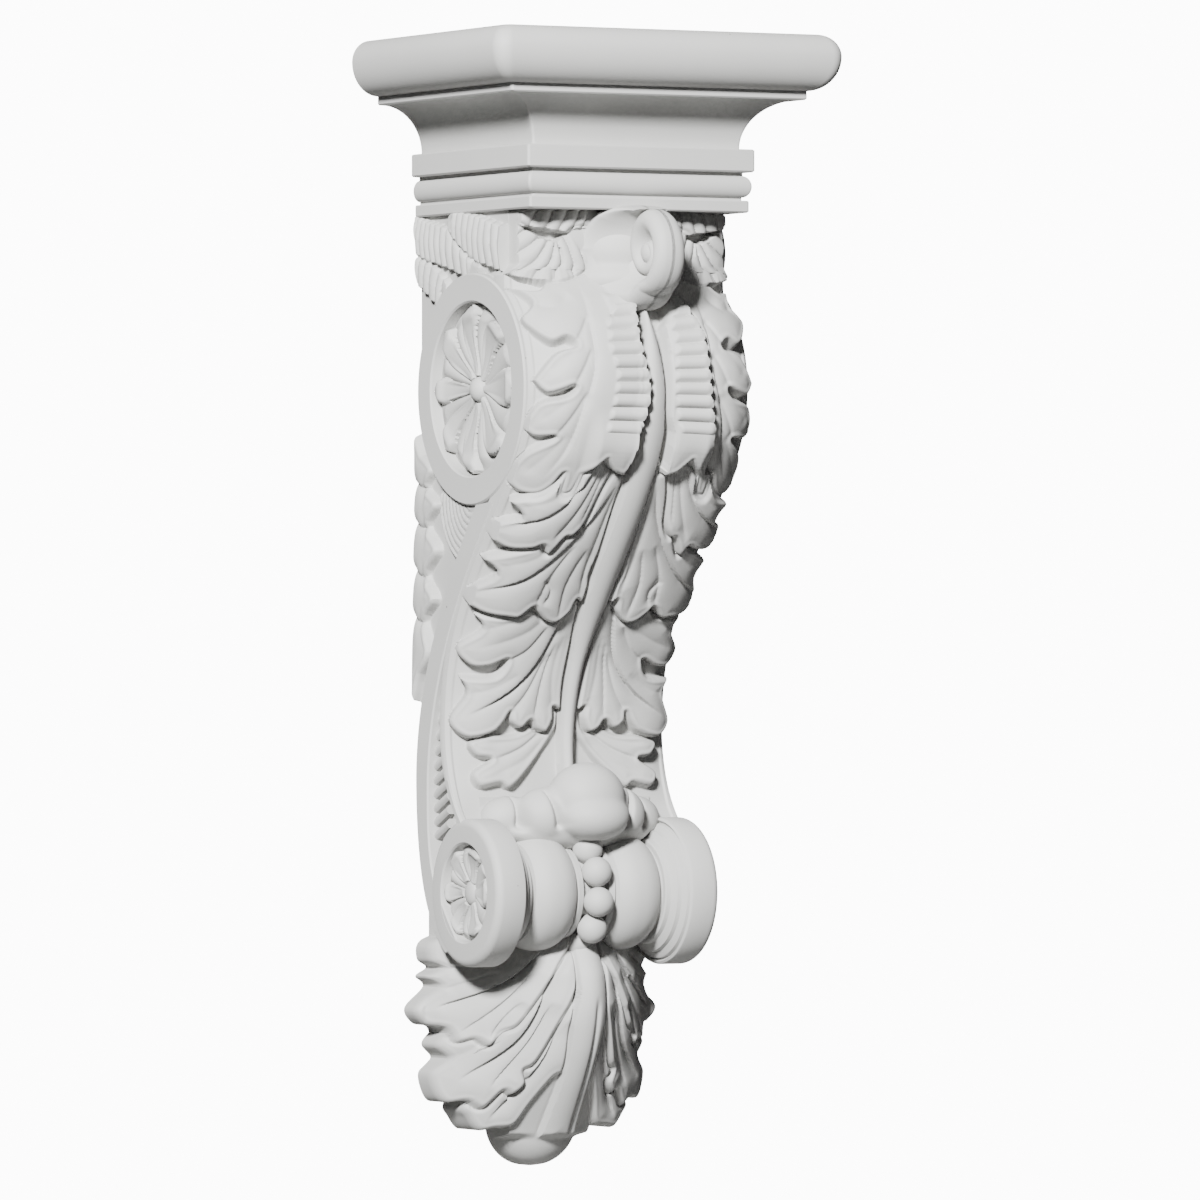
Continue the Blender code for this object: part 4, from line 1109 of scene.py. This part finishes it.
def front_half(side):
    """One half of the carved front as a closed shell back to the middle of the body: side is -1 or 1."""
    line = [(float(ground_surface(40.0, z)), z) for z in np.linspace(FRONT_TOP, LEAF_FOOT, 300)]
    rows = even_rows(FRONT_TOP, LEAF_FOOT, line, CARVING_PITCH)
    x = np.linspace(0, RIM_HALF_WIDTH, 2000)
    swell = ROUND_OF_FRONT * (x / RIM_HALF_WIDTH) ** GROUND_POWER
    run = np.concatenate(([0], np.cumsum(np.hypot(np.diff(x), np.diff(swell)))))
    columns = np.interp(np.linspace(0, run[-1], int(run[-1] / CARVING_PITCH)), run, x)
    grid_x, grid_z = np.meshgrid(columns, rows)
    ground = np.stack((grid_x, ground_surface(grid_x, grid_z), grid_z), axis=-1)
    outward = normals_of(ground)
    outward[:, 0, 0] = 0.0
    height = carve_front(grid_x, grid_z, side)
    rim = smooth_step((grid_x - (RIM_HALF_WIDTH - RIM_LIP - 1)) / 1.2) * RIM_RISE
    height = np.where(height < 0.3, height + rim, height)
    height *= smooth_step((RIM_HALF_WIDTH - grid_x) / 1.2)
    surface = ground + outward * height[..., None]
    surface[:, 0, 0] = 0.0
    edge = reach_at(edge_line(), rows)
    deep = np.full(len(rows), BODY_DEEP)
    core = np.full(len(rows), CORE_HALF_WIDTH)
    rim_x = np.interp(rows, [VOLUTE_HEIGHT + 64, VOLUTE_HEIGHT + 70, cap_foot() - 1, cap_foot()],
                      [RIM_HALF_WIDTH, SIDE_HALF_WIDTH, SIDE_HALF_WIDTH, SIDE_HALF_WIDTH - 2.0])
    surface[:, :, 0] *= (rim_x / RIM_HALF_WIDTH)[:, None]
    short_of_rim = 0.05 * np.arange(len(columns) - 1, -1, -1)
    surface[:, :, 0] = np.minimum(surface[:, :, 0], rim_x[:, None] - short_of_rim)
    behind = edge - np.interp(rows, RIM_TAPER, (RIM_NARROW, RIM_WIDTH))
    back = np.stack((np.stack((rim_x, behind, rows), axis=-1),
                     np.stack((core, behind, rows), axis=-1),
                     np.stack((core, deep, rows), axis=-1),
                     np.stack((np.zeros(len(rows)), deep, rows), axis=-1)), axis=1)
    shell = loft(np.concatenate((surface, back), axis=1))
    return mirrored(shell) if side < 0 else shell


def make_front():
    """The two halves of the carved front, which differ in their straps."""
    for side, name in ((-1, "carved_front_left"), (1, "carved_front_right")):
        piece(name, mesh_from(name, [front_half(side)]))


def make_core():
    """The plain body behind the carving: back plate, block under the cap, cheeks and foot."""
    top = cap_foot() + CAP_ROOT
    middle = strip_middle(CHEEK_POINTS)
    face = BLOCK_REACH - BLOCK_SETBACK
    outline = [(BODY_DEEP, top), (face, top), (face, BLOCK_FOOT)]
    outline += middle + [(BODY_DEEP, middle[-1][1] - CHEEK_DROP)]
    cheek = loft([[(x, p[0], p[1]) for p in outline] for x in (CHEEK_OUTER, CHEEK_INNER)])
    plate = upright([(CORE_HALF_WIDTH, 0), (CORE_HALF_WIDTH, PLATE_DEEP)], cap_foot(), CORE_FOOT)
    block = upright(BLOCK_PLAN, top, BLOCK_FOOT)
    foot = upright(FOOT_PLAN, FOOT_TOP, CORE_FOOT)
    piece("body", mesh_from("body", both([cheek]) + [plate, block, foot]))


def upright(plan, top, foot):
    """A straight block between two heights; its plan is the right half, as (x, reach) from the wall out."""
    whole = [(-x, reach) for x, reach in plan] + [(x, reach) for x, reach in reversed(plan)]
    return loft([[(x, reach, z) for x, reach in whole] for z in (top, foot)])


def strip_lines():
    """The scroll strip's wall edge and front edge, from the ring down to the roll's disc."""
    ring_foot = VOLUTE_HEIGHT - mm("volute_radius")
    gap = STRIP_WALL_GAP
    inner = gap + mm("strip_width")
    disc = mm("disc_radius")
    drop = ROLL_HEIGHT + 65
    wall = bezier((VOLUTE_REACH + 5, ring_foot), (VOLUTE_REACH - 21, ring_foot - 31),
                  (gap, ring_foot - 91), (gap, drop), 48)
    landing = (ROLL_REACH + disc * math.cos(STRIP_LANDING), ROLL_HEIGHT + disc * math.sin(STRIP_LANDING))
    wall += bezier((gap, drop), (gap, ROLL_HEIGHT + 14), (landing[0] - 24, landing[1] + 17), landing, 40)[1:]
    front = bezier((VOLUTE_REACH + 27, ring_foot + 2), (VOLUTE_REACH + 1, ring_foot - 29),
                   (inner, ring_foot - 91), (inner, ROLL_HEIGHT + 58), 48)
    behind_roll = (ROLL_REACH - disc + 4, ROLL_HEIGHT + 8)
    front += bezier((inner, ROLL_HEIGHT + 58), (inner, ROLL_HEIGHT + 34), (inner + 2, ROLL_HEIGHT + 19),
                    behind_roll, 24)[1:]
    front += bezier(behind_roll, (ROLL_REACH - 30, ROLL_HEIGHT - 4), (ROLL_REACH - 18, ROLL_HEIGHT - 18),
                    (ROLL_REACH - 6, ROLL_HEIGHT - 30), 16)[1:]
    return wall, front


def strip_middle(count):
    """The first points of the scroll strip's middle line."""
    wall, front = strip_lines()
    return [((a[0] + b[0]) / 2, (a[1] + b[1]) / 2) for a, b in zip(wall[:count], front[:count])]


def make_scrolls():
    """The scroll strips, with their long edges eased, and the flat rings of the volutes."""
    wall, front = strip_lines()
    rings = []
    for a, b in zip(wall, front):
        a, b = np.array(a), np.array(b)
        inward = (b - a) / np.linalg.norm(b - a)
        near, far = a + inward * EDGE_ROUND, b - inward * EDGE_ROUND
        rings.append([(STRIP_ROOT, *a), (STRIP_FACE - EDGE_ROUND, *a), (STRIP_FACE, *near),
                      (STRIP_FACE, *far), (STRIP_FACE - EDGE_ROUND, *b), (STRIP_ROOT, *b)])
    strip = loft(rings)
    radius, inner = mm("volute_radius"), mm("rosette_radius")
    ring = [(STRIP_ROOT + 1, 0.2), (STRIP_ROOT + 1, radius), (VOLUTE_FACE - EDGE_ROUND, radius),
            (VOLUTE_FACE, radius - EDGE_ROUND), (VOLUTE_FACE, inner + EDGE_ROUND),
            (VOLUTE_FACE - EDGE_ROUND, inner), (ROSETTE_FLOOR + 1, inner - 1.2),
            (ROSETTE_FLOOR, inner - 2.2), (ROSETTE_FLOOR, 0.2)]
    ring_shell = turned(ring, (VOLUTE_REACH, VOLUTE_HEIGHT))
    piece("scroll_strips", mesh_from("scroll_strips", both([strip])), EASED_ANGLE)
    piece("volute_rings", mesh_from("volute_rings", both([ring_shell])), EASED_ANGLE)


def rosette(radius, petals, button, rise):
    """A rosette as a closed disc standing on x = 0: dished petals bowed towards the wall, folds between."""
    rings = []
    turns = np.linspace(0, 2 * math.pi, ROSETTE_SEGMENTS, endpoint=False)
    rows = np.concatenate((np.linspace(0.02, button, BUTTON_ROWS),
                           np.linspace(button + 0.5, radius, ROSETTE_ROWS)))
    for r in rows:
        out = (r - button) / (radius - button)
        if r <= button:
            height = np.full(len(turns), rise * math.sqrt(max(1 - (r / button) ** 2, 0)) + 1.0)
        else:
            bow = PETAL_BOW * np.sin(turns) * 4 * out * (1 - out)
            across = np.abs(((turns - bow) * petals / (2 * math.pi) + 0.5) % 1.0 - 0.5) * 2
            closing = math.sqrt(max(1 - max((out - PETAL_TIP) / PETAL_TIP_RUN, 0) ** 2, 0))
            share = PETAL_SHARE * closing + 0.001
            inside = np.clip(1 - across / share, 0, 1)
            lip = PETAL_LIP * math.exp(-((out - PETAL_LIP_AT) / PETAL_LIP_WIDTH) ** 2)
            dish = PETAL_DISH * smooth_step(inside / 0.5) * math.sin(math.pi * min(out / 0.8, 1))
            petal = PETAL_ROOT + PETAL_RISE * out + PETAL_CROWN * np.sqrt(1 - (1 - inside) ** 2.5)
            petal += lip * smooth_step(inside / 0.3) - dish
            middle = np.clip((across - share) / (1 - share), 0, 1)
            fold = (PETAL_FOLD_ROOT + PETAL_FOLD_RISE * out) * np.sqrt(1 - (1 - middle) ** 2)
            fold *= 1 - 0.8 * max(out - 0.8, 0) / 0.2
            height = np.where(across < share, petal, fold + PETAL_FOLD_FOOT)
        rings.append(np.stack((height, r * np.cos(turns), r * np.sin(turns)), axis=-1))
    foot = np.stack((np.full(len(turns), -1.5), radius * np.cos(turns), radius * np.sin(turns)), axis=-1)
    return loft(np.array(rings + [foot]))


def make_rosettes():
    """The large rosettes, sunk in the rings of the volutes."""
    petals = bpy.context.scene.corbel_sizes.rosette_petals
    points, faces = rosette(mm("rosette_radius") - ROSETTE_GAP, petals, *ROSETTE_BUTTON)
    shell = points + (ROSETTE_FLOOR, VOLUTE_REACH, VOLUTE_HEIGHT), faces
    piece("rosettes", mesh_from("rosettes", both([shell])))


def roll_profile():
    """Half of the roll's turned profile, from its middle out to its face: (x, radius)."""
    disc = mm("disc_radius")
    inner = DISC_FACE - DISC_THICKNESS
    middle = (BARREL_INNER + BARREL_OUTER) / 2
    half = (BARREL_OUTER - BARREL_INNER) / 2
    profile = [(0.0, COLLAR_RADIUS - 2), (BARREL_INNER - 6, COLLAR_RADIUS - 2),
               (BARREL_INNER - 5.6, COLLAR_RADIUS + 2.6), (BARREL_INNER - 2.4, COLLAR_RADIUS + 3.2),
               (BARREL_INNER - 1.6, COLLAR_RADIUS + 1)]
    for t in np.linspace(-1, 1, 25):
        profile.append((middle + half * t, mm("barrel_radius") - BARREL_END_DROP * abs(t) ** BARREL_POWER))
    profile += [(BARREL_OUTER + 0.6, COLLAR_RADIUS + 2), (BARREL_OUTER + 3, COLLAR_RADIUS + 2)]
    steps = [(BARREL_OUTER + out, height) for out, height in DISC_STEPS] + [(inner - 2.0, DISC_STEP_TOP)]
    for foot, height in steps:
        profile += [(foot, height - 1.0), (foot + 0.6, height), (foot + 3.0, height + 0.5)]
    profile += [(inner - 0.8, disc - 1.6), (inner, disc - 0.4), (inner + 1.0, disc)]
    profile += arc((DISC_FACE - DISC_ROUND, disc - DISC_ROUND), DISC_ROUND, 90, 0, 8)
    profile += [(DISC_FACE, EYE_RADIUS + EDGE_ROUND), (DISC_FACE - EDGE_ROUND, EYE_RADIUS),
                (DISC_FACE - EYE_DEPTH, EYE_RADIUS - 1.2), (DISC_FACE - EYE_DEPTH, 0.1)]
    return profile


def make_roll():
    """The roll with its barrels and discs, turned about its axis."""
    half = roll_profile()
    full = [(-x, r) for x, r in reversed(half[1:])] + half
    piece("roll", mesh_from("roll", [turned(full, (ROLL_REACH, ROLL_HEIGHT), ROLL_SEGMENTS)]), 24)


def make_roll_eyes():
    """The small rosettes, sunk in the faces of the discs."""
    petals = bpy.context.scene.corbel_sizes.eye_petals
    points, faces = rosette(EYE_RADIUS - EYE_GAP, petals, *EYE_BUTTON)
    shell = points * (EYE_FLATNESS, 1, 1) + (DISC_FACE - EYE_DEPTH - EYE_SINK, ROLL_REACH, ROLL_HEIGHT), faces
    piece("roll_eyes", mesh_from("roll_eyes", both([shell])))


def make_beads():
    """The beads round the front of the roll, on its middle."""
    bead = mesh_from("bead", [egg((0, mm("bead_circle"), 0), (mm("bead_radius"),) * 3, 36, 24)])
    beads = copies("beads", bead, bpy.context.scene.corbel_sizes.beads, (0, ROLL_REACH, ROLL_HEIGHT),
                   first_turn=(-FIRST_BEAD, 0, 0), turn=(BEAD_PITCH, 0, 0))
    piece("beads", beads)


def scroll_face():
    """The left half of the rolled leaf tip: a snail about X, its outer wrap swelling out towards the wall."""
    full = 2 * math.pi
    turns = np.linspace(0, full, CURL_SEGMENTS, endpoint=False)
    edge = mm("curl_radius") + CURL_SPREAD * np.clip(np.sin(turns - CURL_FROM), 0, 1)
    wound = (turns - CURL_FROM) / full
    rings = []
    for share in np.linspace(0.005, 1, CURL_ROWS) ** 0.85:
        r = share * edge
        wrap = np.floor(np.log(r / CURL_START) / math.log(CURL_SHRINK) - wound)
        outer = np.minimum(edge, CURL_START * CURL_SHRINK ** (wrap + wound))
        inner = CURL_START * CURL_SHRINK ** (wrap + 1 + wound)
        across = np.clip((r - inner) / np.maximum(outer - inner, 0.1), 0, 1)
        crown = np.interp(np.degrees(turns + full * (wrap + 1)), *zip(*CURL_CROWNS))
        shoulder = across > CURL_SHOULDER
        level = np.where(shoulder & (outer >= edge), 1.0, CURL_CREASE)
        bulge = np.sin(math.pi * across ** 1.4) ** np.where(shoulder, 0.4, 0.9)
        height = level + (crown - level) * bulge
        eye = CURL_CREASE + CURL_EYE_RISE * np.sqrt(np.maximum(1 - (r / CURL_EYE) ** 2, 0.0))
        height = np.where(r < CURL_EYE, np.maximum(height, eye), height)
        rings.append(np.stack((-height, CURL_REACH + r * np.cos(turns), CURL_HEIGHT + r * np.sin(turns)),
                              axis=-1))
    middle = rings[-1].copy()
    middle[:, 0] = 1.0
    return loft(np.array(rings + [middle]))


def make_curl():
    """The leaf tip that rolls forward: a coil on either side of the centre, on a broad smooth neck."""
    coil = scroll_face()
    piece("curl", mesh_from("curl", [coil, mirrored(coil)]))
    shells = [egg(item.centre, item.radii) for item in NECK_BULBS]
    piece("curl_neck", melted("curl_neck", shells, NECK_MELT))


def make_husk():
    """The husk that sits on the roll: bulbs melted into one another, with drop-shaped pits between."""
    shells = [egg(item.centre, item.radii) for item in HUSK_MIDDLE]
    for bulb in HUSK_BULBS:
        shells += both([egg(bulb.centre, bulb.radii)])
    husk = melted("husk", shells, HUSK_MELT)
    points = np.empty(len(husk.vertices) * 3)
    husk.vertices.foreach_get("co", points)
    points = points.reshape(-1, 3)
    for pit in HUSK_PITS:
        distance, along, _ = nearest(np.array(pit, float), np.abs(points[:, 0]) / MM, points[:, 2] / MM)
        hollow = (0.4 + 0.6 * along) * np.exp(-(distance / (1.0 + 1.6 * along)) ** 2)
        points[:, 1] += PIT_DEPTH * MM * hollow
    husk.vertices.foreach_set("co", points.ravel())
    husk.update()
    piece("husk", husk)


def make_ladder():
    """Slanted bars in the slot between the strip and the rim."""
    count = bpy.context.scene.corbel_sizes.ladder_bars
    pitch = (LADDER_TOP - LADDER_FOOT) / (count - 1)
    half = BAR_HALF_SHARE * pitch
    rings = []
    for s in np.linspace(0, 1, BAR_STEPS):
        reach, z = BAR_LENGTH * s, BAR_CLIMB * s
        ring = [(BAR_HEIGHT - BAR_CROWN * k * k, reach, z + half * k) for k in np.linspace(-1, 1, BAR_STEPS)]
        rings.append(ring + [(BAR_ROOT, reach, z + half), (BAR_ROOT, reach, z - half)])
    bar = mesh_from("bar", [loft(rings)])
    start = (CORE_HALF_WIDTH + LADDER_STAND, STRIP_WALL_GAP + mm("strip_width") - LADDER_LAP, LADDER_TOP)
    bars = copies("ladder_bars", bar, count, start, (0, 0, -pitch))
    piece("ladder_bars", with_mirror("ladder_bars", bars))


def ribbon_field(x, z, ribbon):
    """How far points lie inside a pleated ribbon, and its height there."""
    route = spline(ribbon.route, False)
    length = np.linalg.norm(np.diff(route, axis=0), axis=1).sum()
    distance, along, side = nearest(route, x, z)
    widening = np.sin(math.pi / 2 * np.minimum(along * RIBBON_WIDENING, 1))
    half = ribbon.half_width * (ribbon.narrow + (1 - ribbon.narrow) * widening)
    phase = along * round(length / PLEAT_PITCH) + PLEAT_SLANT * side * distance
    pleat = np.abs(np.sin(math.pi * phase)) ** 0.5
    inside = np.minimum(half - distance, 0.5 * length - np.abs(along - 0.5) * length + RIBBON_END)
    height = ribbon.lift + PLEAT_DEPTH * pleat - RIBBON_DROOP * distance ** 1.6
    return inside + PLEAT_SCALLOP * pleat, height


def lay_ribbons(total, x, z, ribbons):
    """Pleated ribbons laid over the carving so far."""
    for ribbon in ribbons:
        total = lay_over(total, *ribbon_field(x, z, ribbon), SIDE_CREASE)
    return total


def carve_side(reach, z):
    """Height of the carving over the flat side: ribbons at the top, a shell and a leaf by the wall."""
    run = np.hypot(reach - SHELL_CENTRE[0], z - SHELL_CENTRE[1])
    rings = SHELL_RIDGE * np.abs(np.sin(math.pi * run / SHELL_PITCH)) ** 0.7 + SHELL_STAND
    fan = smooth_step((SHELL_RADIUS - run) / 2.0) * smooth_step((SHELL_CENTRE[1] + 6 - z) / 4.0)
    total = lay_over(rings * fan, *sheet_field(reach, z, SIDE_LEAF), SIDE_CREASE)
    total = lay_ribbons(total, reach, z, SIDE_RIBBONS)
    hidden = np.hypot(reach - VOLUTE_REACH, z - VOLUTE_HEIGHT) < mm("volute_radius") - 4
    return np.where(hidden, HIDDEN_DEPTH, total)


def make_sides():
    """The carved side faces between the wall and the scroll strip, as closed panels."""
    top_edge, face = cap_foot() + SIDE_LAP, BLOCK_REACH - 0.5
    limit = [(face, top_edge), (face, VOLUTE_HEIGHT + 40)] + strip_middle(SIDE_POINTS)
    rows = np.arange(top_edge, SIDE_FOOT, -SIDE_PITCH)
    shares = np.linspace(0, 1, int(BLOCK_REACH / SIDE_PITCH))
    reach = WALL_SKIN + shares[None, :] * (reach_at(limit, rows)[:, None] - WALL_SKIN)
    z = np.repeat(rows[:, None], len(shares), axis=1)
    height = carve_side(reach, z) * smooth_step((BLOCK_REACH + 2 - reach) / 2.5)
    top = np.stack((SIDE_HALF_WIDTH + SIDE_SKIN + height, reach, z), axis=-1)
    base = np.stack((np.full(z.shape, SIDE_HALF_WIDTH - SIDE_ROOT), reach, z), axis=-1)[:, [0, -1]]
    piece("carved_sides", mesh_from("carved_sides", both([slab(top, base)])))


def pendant_outline(turns):
    """Distance from the leaf's middle to its outermost edge, along each direction."""
    steps = np.linspace(PENDANT_FAR, PENDANT_NEAR, PENDANT_TRIES)
    x = steps[:, None] * np.cos(turns)[None, :]
    z = PENDANT_CENTRE + steps[:, None] * np.sin(turns)[None, :]
    inside = KNOB_RADIUS - np.hypot(x, z - KNOB_HEIGHT)
    body = np.minimum(PENDANT_CORE_HALF - np.abs(x), np.minimum(PENDANT_TOP - z, z - PENDANT_CORE_FOOT))
    inside = np.maximum(inside, body)
    for sheet in PENDANT_SHEETS:
        inside = np.maximum(inside, depth_inside(spline(sheet.outline, True), np.abs(x), z))
    hit = np.argmax(inside > 0, axis=0)
    column = np.arange(len(turns))
    before = np.maximum(hit - 1, 0)
    a, b = inside[before, column], inside[hit, column]
    share = np.clip(-a / np.where(b - a == 0, 1, b - a), 0, 1)
    return steps[before] + (steps[hit] - steps[before]) * share


def make_pendant():
    """The leaf that hangs under the roll, its outline cut square to the wall, ending in a round knob."""
    turns = np.linspace(0, 2 * math.pi, PENDANT_SEGMENTS, endpoint=False)
    shares = np.linspace(0.003, 1.0, PENDANT_ROWS) ** 0.85
    radius = shares[:, None] * pendant_outline(turns)[None, :]
    x = radius * np.cos(turns)
    z = PENDANT_CENTRE + radius * np.sin(turns)
    total = np.full(x.shape, 0.5)
    for sheet in PENDANT_SHEETS:
        total = lay_over(total, *sheet_field(np.abs(x), z, sheet), PENDANT_CREASE)
    half = width_at(TONGUE_HALF_WIDTHS, z)
    inside = np.minimum(half - np.abs(x - 2.0), z - KNOB_HEIGHT + 12)
    tongue = TONGUE_STAND + TONGUE_CROWN * (1 - (1 - np.clip(inside / half, 0, 1)) ** 2)
    vein = np.exp(-((x - 4.0 + 0.06 * (z + 226)) / 1.6) ** 2) * smooth_step((-222 - z) / 12)
    total = lay_over(total, inside, tongue - TONGUE_VEIN * vein, TONGUE_CREASE)
    reach = pendant_surface(x, z) + total
    knob = np.sqrt(np.maximum(1 - ((x / KNOB_RADIUS) ** 2 + ((z - KNOB_HEIGHT) / KNOB_RADIUS) ** 2), 0))
    brow = 0.9 * np.exp(-((np.hypot(x * 0.8, z - KNOB_HEIGHT - 6) - 15) / 2.0) ** 2)
    in_knob = smooth_step((KNOB_HEIGHT - 6 - z) / 4.0)
    reach = reach * (1 - in_knob) + (PENDANT_EDGE + KNOB_STAND * knob + brow * knob) * in_knob
    rings = np.stack((x, np.maximum(reach, PENDANT_EDGE), z), axis=-1)
    soft, wall = rings[-1].copy(), rings[-1].copy()
    rings[-1, :, 1] -= 0.5
    soft[:, 1] = np.maximum(soft[:, 1] - PENDANT_SOFT_EDGE, PENDANT_SOFT_EDGE)
    wall[:, 1] = WALL_SKIN
    piece("hanging_leaf", mesh_from("hanging_leaf", [loft(np.concatenate((rings, soft[None], wall[None])))]))


def make_world(forward):
    """A dim pale surround that turns white only far behind the corbel, where the camera looks."""
    surround = bpy.data.worlds.new("White surround")
    bpy.context.scene.world = surround
    surround.use_nodes = True
    tree = surround.node_tree
    tree.nodes.clear()
    heading = add_node(tree, "ShaderNodeTexCoord").outputs["Generated"]
    towards = add_node(tree, "ShaderNodeVectorMath", {"operation": "DOT_PRODUCT"}, {1: forward},
                       {0: heading})
    strength = add_node(tree, "ShaderNodeMapRange", {"interpolation_type": "SMOOTHSTEP"},
                        {"From Min": math.cos(math.radians(SURROUND_OUTER)),
                         "From Max": math.cos(math.radians(SURROUND_INNER)),
                         "To Min": SURROUND_DIM, "To Max": SURROUND_BRIGHT},
                        {"Value": towards.outputs["Value"]})
    ground = add_node(tree, "ShaderNodeBackground", values={"Color": (1, 1, 1, 1)},
                      links={"Strength": strength.outputs[0]})
    add_node(tree, "ShaderNodeOutputWorld", links={0: ground.outputs[0]})


def make_stage():
    """The pale floor, the soft lights, the white surround and the camera."""
    floor = bpy.data.meshes.new("floor")
    work = bmesh.new()
    bmesh.ops.create_circle(work, cap_ends=True, segments=96, radius=FLOOR_RADIUS * MM,
                            matrix=Matrix.Translation((0, 0, FLOOR_HEIGHT * MM)))
    work.to_mesh(floor)
    work.free()
    material = bpy.data.materials.new("Pale studio floor")
    material.use_nodes = True
    shader = material.node_tree.nodes["Principled BSDF"]
    shader.inputs["Base Color"].default_value = hex_to_linear(bpy.context.scene.corbel_finish.floor)
    shader.inputs["Roughness"].default_value = FLOOR_ROUGHNESS
    floor.materials.append(material)
    item = bpy.data.objects.new("floor", floor)
    bpy.context.scene.collection.objects.link(item)
    for light in STUDIO_LIGHTS:
        add_light(*light)
    turn, rise = CAMERA_TURN, CAMERA_RISE
    forward = Vector((math.sin(turn) * math.cos(rise), math.cos(turn) * math.cos(rise), math.sin(rise)))
    right = Vector((math.cos(turn), -math.sin(turn), 0))
    make_world(forward)
    data = bpy.data.cameras.new("camera")
    data.lens = CAMERA_LENS
    data.sensor_width = CAMERA_SENSOR
    data.clip_end = 100.0
    camera = bpy.data.objects.new("camera", data)
    camera.location = (right * CAMERA_SIDE + Vector((0, 0, CAMERA_HEIGHT)) - forward * CAMERA_DISTANCE) * MM
    camera.rotation_euler = forward.to_track_quat("-Z", "Y").to_euler()
    bpy.context.scene.collection.objects.link(camera)
    bpy.context.scene.camera = camera


def add_light(name, turn, rise, distance, size, power):
    """A soft square light aimed at the corbel; turn is how far it stands to the right of the front."""
    turn, rise = math.radians(turn), math.radians(rise)
    towards = Vector((math.sin(turn) * math.cos(rise), -math.cos(turn) * math.cos(rise), math.sin(rise)))
    place = towards * distance
    data = bpy.data.lights.new(name, "AREA")
    data.size = size
    data.energy = power
    light = bpy.data.objects.new(name, data)
    light.location = place
    light.rotation_euler = (-place).to_track_quat("-Z", "Y").to_euler()
    bpy.context.scene.collection.objects.link(light)


# Operators: one for each piece or group of like pieces, and one for the stage

class CORBEL_OT_cap(bpy.types.Operator):
    """Model the moulded cap: bullnosed board, fillet, cove, band, torus and foot"""
    bl_idname = "corbel.cap"
    bl_label = "Moulded cap"

    def execute(self, context):
        make_cap()
        return {"FINISHED"}


class CORBEL_OT_body(bpy.types.Operator):
    """Model the plain body: back plate, block, cheeks and foot"""
    bl_idname = "corbel.body"
    bl_label = "Plain body"

    def execute(self, context):
        make_core()
        return {"FINISHED"}


class CORBEL_OT_front(bpy.types.Operator):
    """Carve the acanthus leaves, the stem, the straps and the ribbons on the front"""
    bl_idname = "corbel.front"
    bl_label = "Carved front"

    def execute(self, context):
        make_front()
        return {"FINISHED"}


class CORBEL_OT_scrolls(bpy.types.Operator):
    """Model the scroll strips and the volutes' rings"""
    bl_idname = "corbel.scrolls"
    bl_label = "Scrolls"

    def execute(self, context):
        make_scrolls()
        return {"FINISHED"}


class CORBEL_OT_rosettes(bpy.types.Operator):
    """Model the rosettes in the volutes and in the ends of the roll"""
    bl_idname = "corbel.rosettes"
    bl_label = "Rosettes"

    def execute(self, context):
        make_rosettes()
        make_roll_eyes()
        return {"FINISHED"}


class CORBEL_OT_roll(bpy.types.Operator):
    """Turn the roll with its discs and barrels, and string its beads"""
    bl_idname = "corbel.roll"
    bl_label = "Beaded roll"

    def execute(self, context):
        make_roll()
        make_beads()
        return {"FINISHED"}


class CORBEL_OT_curl(bpy.types.Operator):
    """Model the rolled leaf tip under the cap, and the husk over the roll"""
    bl_idname = "corbel.curl"
    bl_label = "Curl and husk"

    def execute(self, context):
        make_curl()
        make_husk()
        return {"FINISHED"}


class CORBEL_OT_sides(bpy.types.Operator):
    """Model the ladder of bars, and carve the ribbons, the shells and the small leaves on the sides"""
    bl_idname = "corbel.sides"
    bl_label = "Side ornament"

    def execute(self, context):
        make_ladder()
        make_sides()
        return {"FINISHED"}


class CORBEL_OT_pendant(bpy.types.Operator):
    """Carve the leaf that hangs under the roll"""
    bl_idname = "corbel.pendant"
    bl_label = "Hanging leaf"

    def execute(self, context):
        make_pendant()
        return {"FINISHED"}


class CORBEL_OT_stage(bpy.types.Operator):
    """Set up the floor, the lights and the camera"""
    bl_idname = "corbel.stage"
    bl_label = "Studio stage"

    def execute(self, context):
        make_stage()
        return {"FINISHED"}


OPERATORS = (CORBEL_OT_cap, CORBEL_OT_body, CORBEL_OT_front, CORBEL_OT_scrolls, CORBEL_OT_rosettes,
             CORBEL_OT_roll, CORBEL_OT_curl, CORBEL_OT_sides, CORBEL_OT_pendant,
             CORBEL_OT_stage)


class CORBEL_PT_sidebar(bpy.types.Panel):
    """Sizes, finish and pieces of the corbel"""
    bl_idname = "CORBEL_PT_sidebar"
    bl_label = "Acanthus corbel"
    bl_space_type = "VIEW_3D"
    bl_region_type = "UI"
    bl_category = "Corbel"

    def draw(self, context):
        for group in (context.scene.corbel_sizes, context.scene.corbel_finish):
            column = self.layout.column()
            for name in group.__annotations__:
                column.prop(group, name)
        for operator in OPERATORS:
            self.layout.operator(operator.bl_idname)


CLASSES = (CorbelSizes, CorbelFinish) + OPERATORS + (CORBEL_PT_sidebar,)


def register():
    """Add the classes and the two groups of settings."""
    for item in CLASSES:
        bpy.utils.register_class(item)
    bpy.types.Scene.corbel_sizes = PointerProperty(type=CorbelSizes)
    bpy.types.Scene.corbel_finish = PointerProperty(type=CorbelFinish)


def unregister():
    """Take them away again."""
    del bpy.types.Scene.corbel_finish
    del bpy.types.Scene.corbel_sizes
    for item in reversed(CLASSES):
        bpy.utils.unregister_class(item)


def main():
    """Register the classes, then build every piece and the stage in order."""
    register()
    for operator in OPERATORS:
        group, name = operator.bl_idname.split(".")
        getattr(getattr(bpy.ops, group), name)()


if __name__ == "__main__":
    main()
